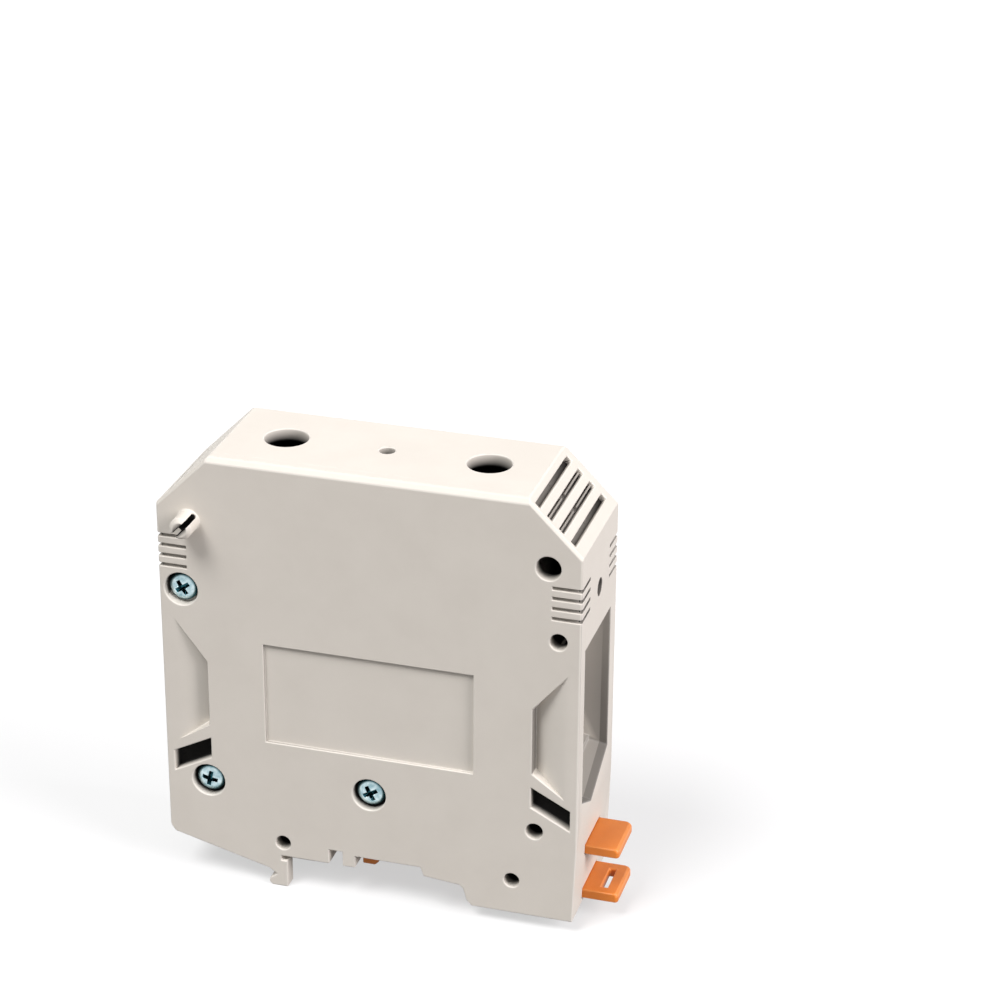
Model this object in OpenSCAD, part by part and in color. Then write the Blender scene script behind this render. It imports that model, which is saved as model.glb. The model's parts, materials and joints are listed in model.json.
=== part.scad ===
// Feed-through terminal block for thick conductors, clipped to a top-hat rail.
// X runs along the conductor, Y through the thickness (front face at -Y), Z up from the rail seat.

/* [Clamping works] */
// Distance between the two clamping screws
terminal_gap = 47.2; // [42:0.2:60]
// Clear width of the conductor space
conductor_w = 18; // [14:0.5:20]
// Clear height of the conductor space with the clamp open
conductor_h = 19; // [15:0.5:22]
// Length of a clamp loop along the conductor
loop_len = 18; // [15:0.5:20]
// Thickness of the clamp loop's strip
loop_t = 2.5; // [2:0.1:3]
// Height of the tapped block inside a clamp loop
block_h = 9; // [7:0.5:11]
// How far a clamp loop rises
clamp_travel = 12; // [8:0.5:13]
// Thickness of the current bar
bar_t = 5; // [4:0.5:6]
// Length of the current bar past each clamp loop
bar_tail = 2.4; // [1:0.2:2.6]
// Diameter of a clamping screw's shank
screw_d = 10; // [8:0.5:11]
// Diameter of a clamping screw's head
head_d = 14; // [13:0.5:15]
// Height of a clamping screw's head
head_h = 8; // [6:0.5:9]
// Width across flats of the key socket
key_af = 8; // [5:0.5:8.5]
// Depth of the key socket
key_depth = 5; // [3:0.5:5.5]
// Thickness of the thrust washer
washer_t = 1.5; // [1:0.1:2]

/* [Case] */
// Wall of the case at its sides and top
wall = 3; // [2.4:0.1:3.4]
// Rear wall of the case
rear_wall = 2.9; // [2.6:0.1:3.6]
// Thickness of the screwed-on front cover
cover_t = 3.4; // [3.1:0.1:4]
// Corner cut at each upper shoulder
shoulder = 12.5; // [11:0.5:14]
// Inner rib beside a clamp loop
rib = 3.1; // [2.5:0.1:4]
// Length of the cable funnel
funnel_len = 13.2; // [12.4:0.1:15]
// Shelf that carries a clamping screw
shelf_t = 3; // [2:0.5:4]
// Space above a clamping screw's head
headroom = 5; // [3:0.5:8]
// Height of the base under the clamps
base_h = 28; // [27:0.5:34]
// Bevel along the edges of the front and rear face
edge_bevel = 1.1; // [0.5:0.1:2]

/* [Openings] */
// Diameter of the driver holes in the top
access_d = 10; // [8:0.5:11]
// Diameter of the test hole in the top
test_d = 3.5; // [2:0.5:4.5]
// Height of the cable window's lower edge above the rail seat
window_z = 28.5; // [28:0.1:29]
// Height of the cable window
window_h = 34.5; // [32:0.5:36]
// Depth of the straight lip inside the cable window
window_lip = 1.7; // [0.5:0.1:2]
// Dip of the cable window's lower edge at its middle
window_dip = 7.7; // [4:0.1:8]
// Depth of the ramp pockets in the front and rear face
ramp_depth = 3; // [2:0.1:4]
// Length of the ramp pockets
ramp_len = 8; // [6:0.5:8.5]
// Height of the slanted slots below the ramp pockets
slot_h = 5.1; // [3:0.1:5.4]
// Number of louvres in each shoulder
louvre_count = 4; // [2:1:4]
// Distance between louvres
louvre_pitch = 3.8; // [3.2:0.1:4]
// Width of a louvre
louvre_w = 1.6; // [1:0.1:2.2]
// Number of grip grooves at each upper edge
groove_count = 4; // [1:1:5]
// Distance between grip grooves
groove_pitch = 2.45; // [1.8:0.05:2.6]
// Depth of a grip groove
groove_depth = 1; // [0.4:0.1:1.4]
// Diameter of the small hole in each side
vent_d = 4.2; // [2:0.2:4.4]
// Width of the rating plate's recess
plate_w = 49.4; // [30:0.2:60]
// Height of the rating plate's recess
plate_h = 25; // [15:0.2:26]

/* [Fasteners and pegs] */
// Diameter of the case screws
case_screw_d = 3.9; // [3:0.1:4.2]
// Diameter of the case screws' heads
case_head_d = 7; // [6.2:0.1:7.2]
// Height of the case screws' heads
case_head_h = 2; // [1.4:0.1:2.2]
// Diameter of the split peg that joins two blocks
peg_d = 5.2; // [4:0.1:6]
// Length of the split peg
peg_len = 5.5; // [3:0.1:6]
// Saw cut through the split peg
peg_slit = 1.2; // [0.6:0.1:1.6]

/* [Rail foot] */
// Width of the rail
rail_w = 35; // [34.5:0.1:36]
// Room for the thickness of the rail's edge
rail_t = 1.5; // [1:0.1:1.7]
// How far the hook and the latch reach under the rail
rail_grip = 2.7; // [2:0.1:3.2]
// Depth of the foot below the rail seat
foot_drop = 5; // [4.6:0.1:6]
// Width of the fixed hook
hook_w = 7.3; // [5:0.1:9]
// Width of the latch tabs
latch_w = 13; // [9:0.5:14]
// Thickness of the latch tabs
latch_t = 2.3; // [1.8:0.1:2.5]
// How far the latch tabs stand out of the case
latch_out = 7.5; // [5:0.5:10]
// How far a latch is pulled to let go
latch_travel = 4; // [2.5:0.5:4.5]
// Height of the upper latch above the rail seat
upper_latch_z = 8; // [7.6:0.1:9]

/* [Hidden] */

$fn = 48;
CASE_GREY = [0.79, 0.77, 0.73];
LATCH_ORANGE = [0.91, 0.50, 0.22];
ZINC = [0.76, 0.80, 0.83];
STEEL = [0.62, 0.64, 0.66];
COPPER = [0.78, 0.48, 0.30];

// Clearances
slide_gap = 0.3;
seat_gap = 0.15;
thread_gap = 0.05;
bay_gap = 0.75;
over = 1;

// Thickness of the case and the middle plane of the works
loop_w = conductor_w + 2 * loop_t;
case_t = cover_t + loop_w + 2 * bay_gap + rear_wall;
front_y = -case_t / 2;
rear_y = case_t / 2;
cover_y = front_y + cover_t;
bay_rear_y = rear_y - rear_wall;
works_y = cover_y + bay_gap + loop_w / 2;

// Length of the case
screw_x = terminal_gap / 2;
bay_x0 = screw_x - loop_len / 2 - slide_gap;
bay_x1 = screw_x + loop_len / 2 + slide_gap;
half_len = bay_x1 + rib + funnel_len;
case_len = 2 * half_len;
corner_x0 = bay_x1 + rib;

// Stack of the works above the rail seat
bay_z0 = base_h;
loop_z0 = bay_z0 + slide_gap;
loop_floor_z = loop_z0 + loop_t;
bar_z = loop_floor_z + conductor_h;
bar_top_z = bar_z + bar_t;
block_z0 = bar_top_z + slide_gap;
loop_z1 = block_z0 + block_h + loop_t;
shelf_z = loop_z1 + clamp_travel + slide_gap;
shelf_top_z = shelf_z + shelf_t;
head_z0 = shelf_top_z + washer_t;
head_z1 = head_z0 + head_h;
case_h = head_z1 + headroom + wall;
washer_rim = 0.5;
bar_w = conductor_w - 2 * slide_gap;
bar_x1 = bay_x1 + bar_tail;

// Cable funnel: a window in each side that narrows to the conductor space
funnel_ease = 0.2;
neck_len = 2.2;
neck_step = 0.5;
window_z1 = window_z + window_h;
window_flare = 0.9;
neck_y1 = works_y + conductor_w / 2 + funnel_ease;
window_y1 = neck_y1 + window_flare;
lip_x = half_len - window_lip;
dip_y = -3.7;
dip_edge = 1;
dip_len = 6.2;
dip_slope = 14;
neck_x = half_len - funnel_len + neck_len;
neck_z0 = loop_floor_z + neck_step;
neck_z1 = bar_z - funnel_ease;

// Ramp pocket: its wide end outside, its narrow end towards the plate
ramp_wall = 2.4;
ramp_x0 = neck_x + funnel_ease;
ramp_x1 = ramp_x0 + ramp_len;
ramp_wide_up = 9;
ramp_wide_down = 4.8;
ramp_narrow_top = 1.2;
ramp_narrow_bottom = 0.9;

// Slanted slot
slot_depth = 2.6;
slot_rim = 1.9;
slot_drop = 2.7;
slot_sill = 4.6;
slot_x0 = neck_x;
slot_x1 = half_len - slot_rim;
slot_top_z0 = neck_z0 - slot_drop;
slot_top_z1 = window_z - slot_sill;

// Shoulder and corner chamber behind the louvres
corner_sill = 7.6;
shoulder_z = case_h - shoulder;
corner_floor_z = window_z1 + corner_sill;
inner_cut = wall * (sqrt(2) - 1);
shoulder_share = 0.5;
side_share = 0.3;
louvre_first = 2.6;
louvre_front = 1.65;
louvre_rear = 3.2;

// Case screws as [x, z]; the rear ones mirror the two on the left
upper_screw_in = 5.2;
upper_screw_up = 3.1;
lower_screw_in = 10.1;
lower_screw_down = 10.6;
middle_screw_down = 7.9;
upper_screw = [-(half_len - upper_screw_in), window_z1 + upper_screw_up];
lower_screw = [-(half_len - lower_screw_in), base_h - lower_screw_down];
middle_screw = [0, base_h - middle_screw_down];
head_sink = 0.6;
shank_gap = 0.2;
head_gap = 0.5;
bore_d = case_screw_d + 2 * thread_gap;
free_d = case_screw_d + 2 * shank_gap;
counterbore_d = case_head_d + 2 * head_gap;
counterbore_h = case_head_h + head_sink;
tip_sink = 8;

// Domed head of a case screw and its cross
dome_flat_d = 3.9;
dome_mid_d = 5.8;
dome_drop = 0.15;
dome_mid_drop = 0.5;
dome_rim_drop = 1.2;
cross_w = 0.9;
cross_len = 3.8;
cross_depth = 1.2;
cross_turn = 20;
tip_bevel = 0.5;

// Split pegs and their sockets at the upper corners
peg_in = 7.7;
peg_down = 3.3;
peg_x = half_len - peg_in;
peg_z = shoulder_z - peg_down;
peg_gap = 0.25;
peg_tip = 0.8;

// Grip grooves
groove_down = 7.35;
groove_z = shoulder_z - groove_down;
groove_len = 6.8;
groove_wrap = 7.2;
groove_h = 0.9;

// Small hole in each side
vent_up = 2.5;
vent_z = corner_floor_z + vent_up;

// Rating plate recess
plate_up = 1.9;
plate_z = base_h + plate_up;
plate_depth = 0.8;

// Rail foot
rail_x0 = -rail_w / 2;
rail_x1 = rail_x0 + rail_w;
hook_x0 = rail_x0 - hook_w;
hook_d = 16;
hook_toe = 1.4;
lip_bevel = 1.2;
heel_z = 2.5;
heel_round = 1.4;
toe_z = -3.8;
leg_gap = 4.9;
leg_x0 = rail_x1 + leg_gap;
leg_round = 0.8;
leg_toe = 2;
leg_toe_h = 1.4;
leg_draft = 0.9;
draft_z = 20;
notch_in = 7.6;
notch_w = 3.2;
notch_z = 3.7;
tooth_w = 3.1;
notch_x0 = rail_x0 + notch_in;
notch_x1 = notch_x0 + notch_w;
tooth_x1 = notch_x1 + tooth_w;
bridge_z = 3;
step_in = 5.3;
step_run = 0.7;
step_z = 0.8;
step_x = rail_x1 - step_in;

// Front and rear lug beside the hook
lug_w = 4.6;
lug_web = 3.1;
lug_gap = 1.2;
lug_drop = 8.2;
lug_bevel = 0.7;
lug_notch = 1.9;
lug_notch_h = 2.8;

// Blind core holes above the foot, as [x, z]
foot_hole_d = 3.6;
foot_hole_z = 3.6;
foot_hole_depth = 9.5;
leg_mid = 11.5;
leg_mid_x = leg_x0 + leg_mid;
foot_holes = [[hook_x0 + hook_w / 2, foot_hole_z], [leg_mid_x, foot_hole_z]];

// Latches
tab_x1 = half_len + latch_out;
rail_latch_z1 = -rail_t;
rail_latch_z0 = rail_latch_z1 - latch_t;
nose_x = rail_x1 - rail_grip;
tab_bevel = 0.5;
nose_bevel = 1.2;
finger_back = 1.2;
finger_w = 4;
finger_bevel = 1;
finger_lift = 0.8;
finger_x0 = tooth_x1 - finger_back;
finger_z = -foot_drop + finger_lift;
channel_w = latch_w + 2 * slide_gap;
key_slot_len = 8;
key_slot_w = 1.5;
detent_depth = 0.6;
detent_lead = 2;

// Leaf springs that bear on the latches
leaf_t = 0.4;
leaf_w = 8;
leaf_half = 7.5;
leaf_h = 4;
leaf_foot = 2;
leaf_knee = 1.2;
leaf_back = 4;
rail_leaf_x = leg_mid_x;
upper_leaf_x = screw_x - leaf_back;

// Core pockets that thin the base
core_x = screw_x + loop_len / 2;
core_z1 = base_h - wall;
core_left_z = 9;
core_right_x = 8;
core_right_z = 18;
core_left = [-core_x, finger_x0 - wall, core_left_z];
core_right = [core_right_x, core_x, core_right_z];

// Extrude a shape drawn in X and Z from y0 to y1.
module slab(y0, y1) {
    translate([0, y1, 0]) rotate([90, 0, 0]) linear_extrude(y1 - y0) children();
}

// Extrude a shape drawn in X and Y from z0 to z1.
module tower(z0, z1) {
    translate([0, 0, z0]) linear_extrude(z1 - z0) children();
}

// A box between two corners.
module block(low, high) {
    translate(low) cube(high - low);
}

// A round bore along Y at [x, z].
module bore_y(at, d, y0, y1) {
    translate([at.x, y1, at.y]) rotate([90, 0, 0]) cylinder(d = d, h = y1 - y0);
}

// Children on the right side and mirrored on the left side.
module both_sides() {
    children();
    mirror([1, 0, 0]) children();
}

// Outline of the case seen from the front.
module case_outline() {
    heel_fall = (heel_z - toe_z) / (hook_x0 + half_len);
    polygon([
        [-half_len, heel_z + heel_round],
        [-half_len + heel_round, heel_z - heel_round * heel_fall], [hook_x0, toe_z], [hook_x0, 0], [notch_x0, 0],
        [notch_x0, notch_z], [notch_x1, notch_z], [notch_x1, 0], [tooth_x1, 0],
        [tooth_x1, bridge_z], [step_x, bridge_z], [step_x + step_run, step_z],
        [leg_x0 - leg_round, 0], [leg_x0, -leg_round],
        [leg_x0 + leg_round, leg_toe_h - foot_drop], [leg_x0 + leg_toe, -foot_drop],
        [half_len - leg_draft, -foot_drop], [half_len, draft_z], [half_len, shoulder_z],
        [half_len - shoulder, case_h],
        [-half_len + shoulder, case_h], [-half_len, shoulder_z]
    ]);
}

// Bevels along the edges of the face at y, each with its share of the bevel at the top.
module edge_bevels(y) {
    side_h = shoulder_z + foot_drop;
    edges = [
        [0, case_h, 0, case_len, 1],
        [half_len - shoulder / 2, case_h - shoulder / 2, 45, 2 * shoulder, shoulder_share],
        [half_len, shoulder_z - side_h / 2, 90, side_h + shoulder, side_share],
        [-half_len + shoulder / 2, case_h - shoulder / 2, -45, 2 * shoulder, shoulder_share],
        [-half_len, shoulder_z - side_h / 2, 90, side_h + shoulder, side_share]
    ];
    for (e = edges) {
        leg = e[4] * edge_bevel * sqrt(2);
        translate([e[0], y, e[1]]) rotate([0, e[2], 0]) rotate([45, 0, 0])
            cube([e[3], leg, leg], center = true);
    }
}

// Side view of the right cable funnel, shrunk by gap.
module funnel_side(gap, x0) {
    polygon([
        [half_len + over, window_z + gap], [half_len + over, window_z1 - gap],
        [lip_x, window_z1 - gap], [neck_x, neck_z1 - gap],
        [x0, neck_z1 - gap], [x0, neck_z0 + gap],
        [neck_x, neck_z0 + gap], [lip_x, window_z + gap]
    ]);
}

// Dip in the funnel's floor that centres the cable, deepest at the window.
module funnel_dip() {
    fall = (window_dip - dip_edge) / (window_y1 - dip_y) * cos(dip_slope);
    front = dip_y - cover_y + over;
    rear = window_y1 - dip_y + over;
    top = fall * rear + over;
    translate([half_len, dip_y, window_z - window_dip]) rotate([0, dip_slope, 0]) rotate([90, 0, -90])
        translate([0, 0, -dip_len]) linear_extrude(2 * dip_len) polygon([
            [0, 0], [front, fall * front], [front, top], [-rear, top], [-rear, fall * rear]
        ]);
}

// Space of the right cable funnel inside the housing, open towards the cover.
module funnel_space() {
    intersection() {
        union() {
            slab(cover_y - over, rear_y) funnel_side(0, bay_x1 - over);
            funnel_dip();
        }
        tower(0, case_h) polygon([
            [bay_x1 - over, cover_y - over], [bay_x1 - over, neck_y1], [neck_x, neck_y1],
            [lip_x, window_y1], [half_len + over, window_y1], [half_len + over, cover_y - over]
        ]);
    }
}

// The cover's wedge that closes the funnel at the front.
module funnel_wedge() {
    wedge_y = front_y + ramp_depth + ramp_wall;
    intersection() {
        slab(cover_y - over, rear_y) funnel_side(2 * slide_gap, bay_x1 + slide_gap);
        tower(0, case_h) polygon([
            [bay_x1 + slide_gap, cover_y - over], [bay_x1 + slide_gap, wedge_y],
            [ramp_x0, wedge_y], [ramp_x1, cover_y - thread_gap], [ramp_x1, cover_y - over]
        ]);
    }
}

// Ramp pocket in the front face on the right.
module ramp_pocket() {
    intersection() {
        slab(front_y - over, 0) polygon([
            [ramp_x1, neck_z1 + ramp_wide_up], [ramp_x0, neck_z1 - ramp_narrow_top],
            [ramp_x0, neck_z0 + ramp_narrow_bottom], [ramp_x1, neck_z0 - ramp_wide_down]
        ]);
        tower(0, case_h) polygon([
            [ramp_x0, front_y - over], [ramp_x0, front_y + ramp_depth],
            [ramp_x1, front_y], [ramp_x1, front_y - over]
        ]);
    }
}

// Slanted slot below the ramp pocket on the right.
module slanted_slot() {
    slab(front_y - over, front_y + slot_depth) polygon([
        [slot_x0, slot_top_z0], [slot_x1, slot_top_z1],
        [slot_x1, slot_top_z1 - slot_h], [slot_x0, slot_top_z0 - slot_h]
    ]);
}

// Grip grooves round the right front edge.
module grip_grooves() {
    for (i = [0 : groove_count - 1]) {
        z = groove_z - i * groove_pitch;
        block([half_len - groove_len, front_y - over, z - groove_h],
              [half_len + over, front_y + groove_depth, z]);
        block([half_len - groove_depth, front_y - over, z - groove_h],
              [half_len + over, front_y + groove_wrap, z]);
    }
}

// Everything cut into the face at the front, on both sides.
module face_cuts() {
    both_sides() {
        ramp_pocket();
        slanted_slot();
        grip_grooves();
    }
    edge_bevels(front_y);
}

// Louvres through the right shoulder.
module louvres() {
    for (i = [0 : louvre_count - 1]) {
        along = (louvre_first + i * louvre_pitch) / sqrt(2);
        translate([half_len - shoulder + along, 0, case_h - along]) rotate([0, 45, 0])
            block([-louvre_w / 2, front_y + louvre_front, -wall - over],
                  [louvre_w / 2, rear_y - louvre_rear, over]);
    }
}

// A split peg that stands out along -Y from the face at y.
module split_peg(x, y) {
    straight = peg_len - peg_tip;
    translate([x, y, peg_z]) rotate([90, 0, 0]) difference() {
        union() {
            cylinder(d = peg_d, h = straight);
            translate([0, 0, straight]) cylinder(d1 = peg_d, d2 = peg_d - 2 * peg_tip, h = peg_tip);
        }
        rotate([0, 0, -45]) translate([-peg_slit / 2, -peg_d, over])
            cube([peg_slit, 2 * peg_d, peg_len]);
    }
}

// Hook that takes one edge of the rail.
module rail_hook() {
    lip_z = -rail_t - slide_gap;
    slab(-hook_d / 2, hook_d / 2) polygon([
        [hook_x0, over], [hook_x0, toe_z], [hook_x0 + hook_toe, -foot_drop],
        [rail_x0 + rail_grip - lip_bevel, -foot_drop],
        [rail_x0 + rail_grip, -foot_drop + lip_bevel],
        [rail_x0 + rail_grip, lip_z], [rail_x0, lip_z], [rail_x0, over]
    ]);
}

// Lug beside the hook, in the face from y0 to y1.
module hook_lug(y0, y1) {
    lug_x1 = hook_x0 + lug_w;
    slab(y0, y1) polygon([
        [hook_x0, over], [hook_x0, toe_z], [hook_x0 + lug_notch, toe_z - lug_notch_h / 2],
        [hook_x0, toe_z - lug_notch_h], [hook_x0, lug_bevel - lug_drop],
        [hook_x0 + lug_bevel, -lug_drop], [lug_x1, -lug_drop], [lug_x1, -lug_gap],
        [hook_x0 + lug_web, -lug_gap], [hook_x0 + lug_web, over]
    ]);
}

// Bays for one clamp: the loop below the shelf and the screw's head above it.
module clamp_bay() {
    block([bay_x0, cover_y - over, bay_z0], [bay_x1, bay_rear_y, shelf_z]);
    block([bay_x0, cover_y - over, shelf_top_z], [bay_x1, bay_rear_y, case_h - wall]);
    slot_r = screw_d / 2 + slide_gap;
    translate([screw_x, works_y, shelf_z - over]) cylinder(r = slot_r, h = shelf_t + 2 * over);
    block([screw_x - slot_r, cover_y - over, shelf_z - over],
          [screw_x + slot_r, works_y, shelf_top_z + over]);
}

// Chamber behind the louvres of the right shoulder.
module corner_chamber() {
    slab(cover_y - over, bay_rear_y) polygon([
        [corner_x0, corner_floor_z], [half_len - wall, corner_floor_z],
        [half_len - wall, shoulder_z - inner_cut], [corner_x0, case_h - shoulder - inner_cut
            - wall + half_len - corner_x0]
    ]);
}

// Room for one leaf spring above the face at z.
module leaf_room(x, z) {
    block([x - leaf_half - slide_gap, -leaf_w / 2 - slide_gap, z - over],
          [x + leaf_half + slide_gap, leaf_w / 2 + slide_gap, z + leaf_h]);
}

// Channels for the two latches and their springs.
module latch_channels() {
    y1 = channel_w / 2;
    block([finger_x0 - slide_gap, -y1, upper_latch_z - slide_gap],
          [half_len + over, y1, upper_latch_z + latch_t + slide_gap]);
    block([finger_x0 - slide_gap, -y1, finger_z - over],
          [finger_x0 + finger_w + latch_travel + slide_gap, y1, upper_latch_z]);
    block([leg_x0 - over, -y1, rail_latch_z0 - slide_gap],
          [half_len + over, y1, rail_latch_z1 + slide_gap]);
    leaf_room(rail_leaf_x, rail_latch_z1 + slide_gap);
    leaf_room(upper_leaf_x, upper_latch_z + latch_t + slide_gap);
}

module housing() {
    right_screws = [[-upper_screw.x, upper_screw.y], [-lower_screw.x, lower_screw.y]];
    color(CASE_GREY) {
        difference() {
            union() {
                slab(cover_y, rear_y) case_outline();
                rail_hook();
                hook_lug(rear_y - cover_t, rear_y);
            }
            both_sides() {
                clamp_bay();
                corner_chamber();
                funnel_space();
                louvres();
                translate([screw_x, works_y, case_h - wall - over])
                    cylinder(d = access_d, h = wall + 2 * over);
                translate([half_len - wall - over, 0, vent_z]) rotate([0, 90, 0])
                    cylinder(d = vent_d, h = wall + 2 * over);
            }
            block([-bay_x0 + rib, cover_y - over, bay_z0], [bay_x0 - rib, bay_rear_y, case_h - wall]);
            block([-bar_x1 - slide_gap, cover_y - over, bar_z],
                  [bar_x1 + slide_gap, works_y + bar_w / 2 + slide_gap, bar_top_z + slide_gap]);
            translate([0, works_y, case_h - wall - over]) cylinder(d = test_d, h = wall + 2 * over);
            latch_channels();
            for (c = [core_left, core_right])
                block([c[0], cover_y - over, c[2]], [c[1], bay_rear_y, core_z1]);
            for (s = [upper_screw, lower_screw, middle_screw])
                bore_y(s, bore_d, cover_y - over, rear_y + over);
            for (s = right_screws) {
                bore_y(s, free_d, cover_y - over, rear_y + over);
                bore_y(s, counterbore_d, rear_y - counterbore_h, rear_y + over);
            }
            for (h = foot_holes)
                bore_y(h, foot_hole_d, cover_y - over, front_y + foot_hole_depth);
            bore_y([-peg_x, peg_z], peg_d + 2 * peg_gap, bay_rear_y - over, rear_y + over);
            both_sides() grip_grooves();
            mirror([0, 1, 0]) face_cuts();
        }
        mirror([0, 1, 0]) split_peg(peg_x, front_y);
    }
}

module front_cover() {
    left_screws = [upper_screw, lower_screw, middle_screw];
    color(CASE_GREY) {
        difference() {
            union() {
                slab(front_y, cover_y) case_outline();
                hook_lug(front_y, cover_y);
                both_sides() funnel_wedge();
            }
            face_cuts();
            both_sides() louvres();
            block([-plate_w / 2, front_y - over, plate_z],
                  [plate_w / 2, front_y + plate_depth, plate_z + plate_h]);
            for (s = left_screws) {
                bore_y(s, free_d, front_y - over, cover_y + over);
                bore_y(s, counterbore_d, front_y - over, front_y + counterbore_h);
            }
            for (s = [upper_screw, lower_screw])
                bore_y([-s.x, s.y], bore_d, front_y - over, cover_y + over);
            for (h = foot_holes)
                bore_y(h, foot_hole_d, front_y - over, cover_y + over);
            bore_y([peg_x, peg_z], peg_d + 2 * peg_gap, front_y - over, cover_y + over);
        }
        split_peg(-peg_x, front_y);
    }
}

// Cross-head screw along +Y with its head's top at y = 0.
module case_screw(len) {
    shank_r = case_screw_d / 2;
    color(ZINC) rotate([-90, 0, 0]) difference() {
        rotate_extrude() polygon([
            [0, 0], [dome_flat_d / 2, dome_drop], [dome_mid_d / 2, dome_mid_drop],
            [case_head_d / 2, dome_rim_drop], [case_head_d / 2, case_head_h],
            [shank_r, case_head_h], [shank_r, len - tip_bevel], [shank_r - tip_bevel, len], [0, len]
        ]);
        for (turn = [0, 90])
            rotate([0, 0, turn + cross_turn]) translate([-cross_len / 2, -cross_w / 2, -over])
                cube([cross_len, cross_w, cross_depth + over]);
    }
}

// A case screw put in from the front at [x, z].
module front_screw(at) {
    translate([at.x, front_y + head_sink, at.y])
        case_screw(case_t - head_sink - tip_sink);
}

// A case screw put in from the rear, at the mirrored place.
module rear_screw(at) {
    mirror([1, 0, 0]) mirror([0, 1, 0]) front_screw(at);
}

module current_bar() {
    color(COPPER) difference() {
        block([-bar_x1, works_y - bar_w / 2, bar_z], [bar_x1, works_y + bar_w / 2, bar_top_z]);
        translate([0, works_y, bar_z - over]) cylinder(d = test_d, h = bar_t + 2 * over);
    }
}

// Loop of bent strip round the current bar, open along X.
module clamp_loop(side) {
    x = side * screw_x;
    color(ZINC) difference() {
        block([x - loop_len / 2, works_y - loop_w / 2, loop_z0],
              [x + loop_len / 2, works_y + loop_w / 2, loop_z1]);
        block([x - loop_len / 2 - over, works_y - conductor_w / 2, loop_floor_z],
              [x + loop_len / 2 + over, works_y + conductor_w / 2, loop_z1 - loop_t]);
        translate([x, works_y, loop_z1 - loop_t - over])
            cylinder(d = screw_d + 2 * slide_gap, h = loop_t + 2 * over);
    }
}

// Tapped block under the top of a clamp loop.
module tapped_block(side) {
    x = side * screw_x;
    color(STEEL) difference() {
        block([x - loop_len / 2, works_y - conductor_w / 2, block_z0],
              [x + loop_len / 2, works_y + conductor_w / 2, block_z0 + block_h]);
        translate([x, works_y, block_z0 - over])
            cylinder(d = screw_d + 2 * thread_gap, h = block_h + 2 * over);
    }
}

// Socket-head clamping screw that stands on the current bar.
module clamp_screw(side) {
    tip = 1;
    tip_z = bar_top_z + seat_gap;
    color(STEEL) translate([side * screw_x, works_y, 0]) difference() {
        union() {
            translate([0, 0, tip_z]) cylinder(d1 = screw_d - 2 * tip, d2 = screw_d, h = tip);
            translate([0, 0, tip_z + tip]) cylinder(d = screw_d, h = head_z0 - tip_z - tip + over);
            translate([0, 0, head_z0 + seat_gap]) cylinder(d = head_d, h = head_h - seat_gap);
        }
        translate([0, 0, head_z1 - key_depth])
            cylinder(r = key_af / 2 / cos(30), h = key_depth + over, $fn = 6);
    }
}

module thrust_washer(side) {
    color(ZINC) translate([side * screw_x, works_y, shelf_top_z]) difference() {
        cylinder(d = head_d + 2 * washer_rim, h = washer_t);
        translate([0, 0, -over]) cylinder(d = screw_d + 2 * slide_gap, h = washer_t + 2 * over);
    }
}

// Groove in a latch's top that gives a leaf spring its way; its wide end takes the pull.
module detent(x, z) {
    block([x - latch_travel - detent_lead, -leaf_w / 2 - slide_gap, z - detent_depth],
          [x + detent_lead, leaf_w / 2 + slide_gap, z + over]);
}

// Slot for a screwdriver in a tab whose top is at z = 0.
module driver_slot() {
    block([-key_slot_w / 2, -key_slot_len / 2, -latch_t - over],
          [key_slot_w / 2, key_slot_len / 2, over]);
}

module rail_latch() {
    y1 = latch_w / 2;
    color(LATCH_ORANGE) difference() {
        slab(-y1, y1) polygon([
            [nose_x, rail_latch_z1 - nose_bevel], [nose_x, rail_latch_z1],
            [tab_x1 - tab_bevel, rail_latch_z1], [tab_x1, rail_latch_z1 - tab_bevel],
            [tab_x1, rail_latch_z0], [nose_x + nose_bevel, rail_latch_z0]
        ]);
        translate([half_len + latch_out / 2, 0, rail_latch_z1]) driver_slot();
        detent(rail_leaf_x, rail_latch_z1);
    }
}

module upper_latch() {
    y1 = latch_w / 2;
    z1 = upper_latch_z + latch_t;
    color(LATCH_ORANGE) difference() {
        slab(-y1, y1) polygon([
            [finger_x0, finger_z], [finger_x0, z1], [tab_x1 - tab_bevel, z1],
            [tab_x1, z1 - tab_bevel], [tab_x1, upper_latch_z],
            [finger_x0 + finger_w, upper_latch_z], [finger_x0 + finger_w, finger_z + finger_bevel],
            [finger_x0 + finger_w - finger_bevel, finger_z]
        ]);
        detent(upper_leaf_x, z1);
    }
}

// Bent leaf spring with its knee just clear of the groove's floor in the face at z.
module leaf_spring(x, z) {
    top = z + slide_gap + leaf_h - seat_gap - leaf_t;
    knee = z - detent_depth + slide_gap;
    way = [[-leaf_half, top], [-leaf_half + leaf_foot, top], [-leaf_knee / 2, knee],
           [leaf_knee / 2, knee], [leaf_half - leaf_foot, top], [leaf_half, top]];
    last = len(way) - 1;
    color(STEEL) slab(-leaf_w / 2, leaf_w / 2) translate([x, 0]) polygon(concat(
        way, [for (i = [0 : last]) way[last - i] + [0, leaf_t]]
    ));
}

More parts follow.
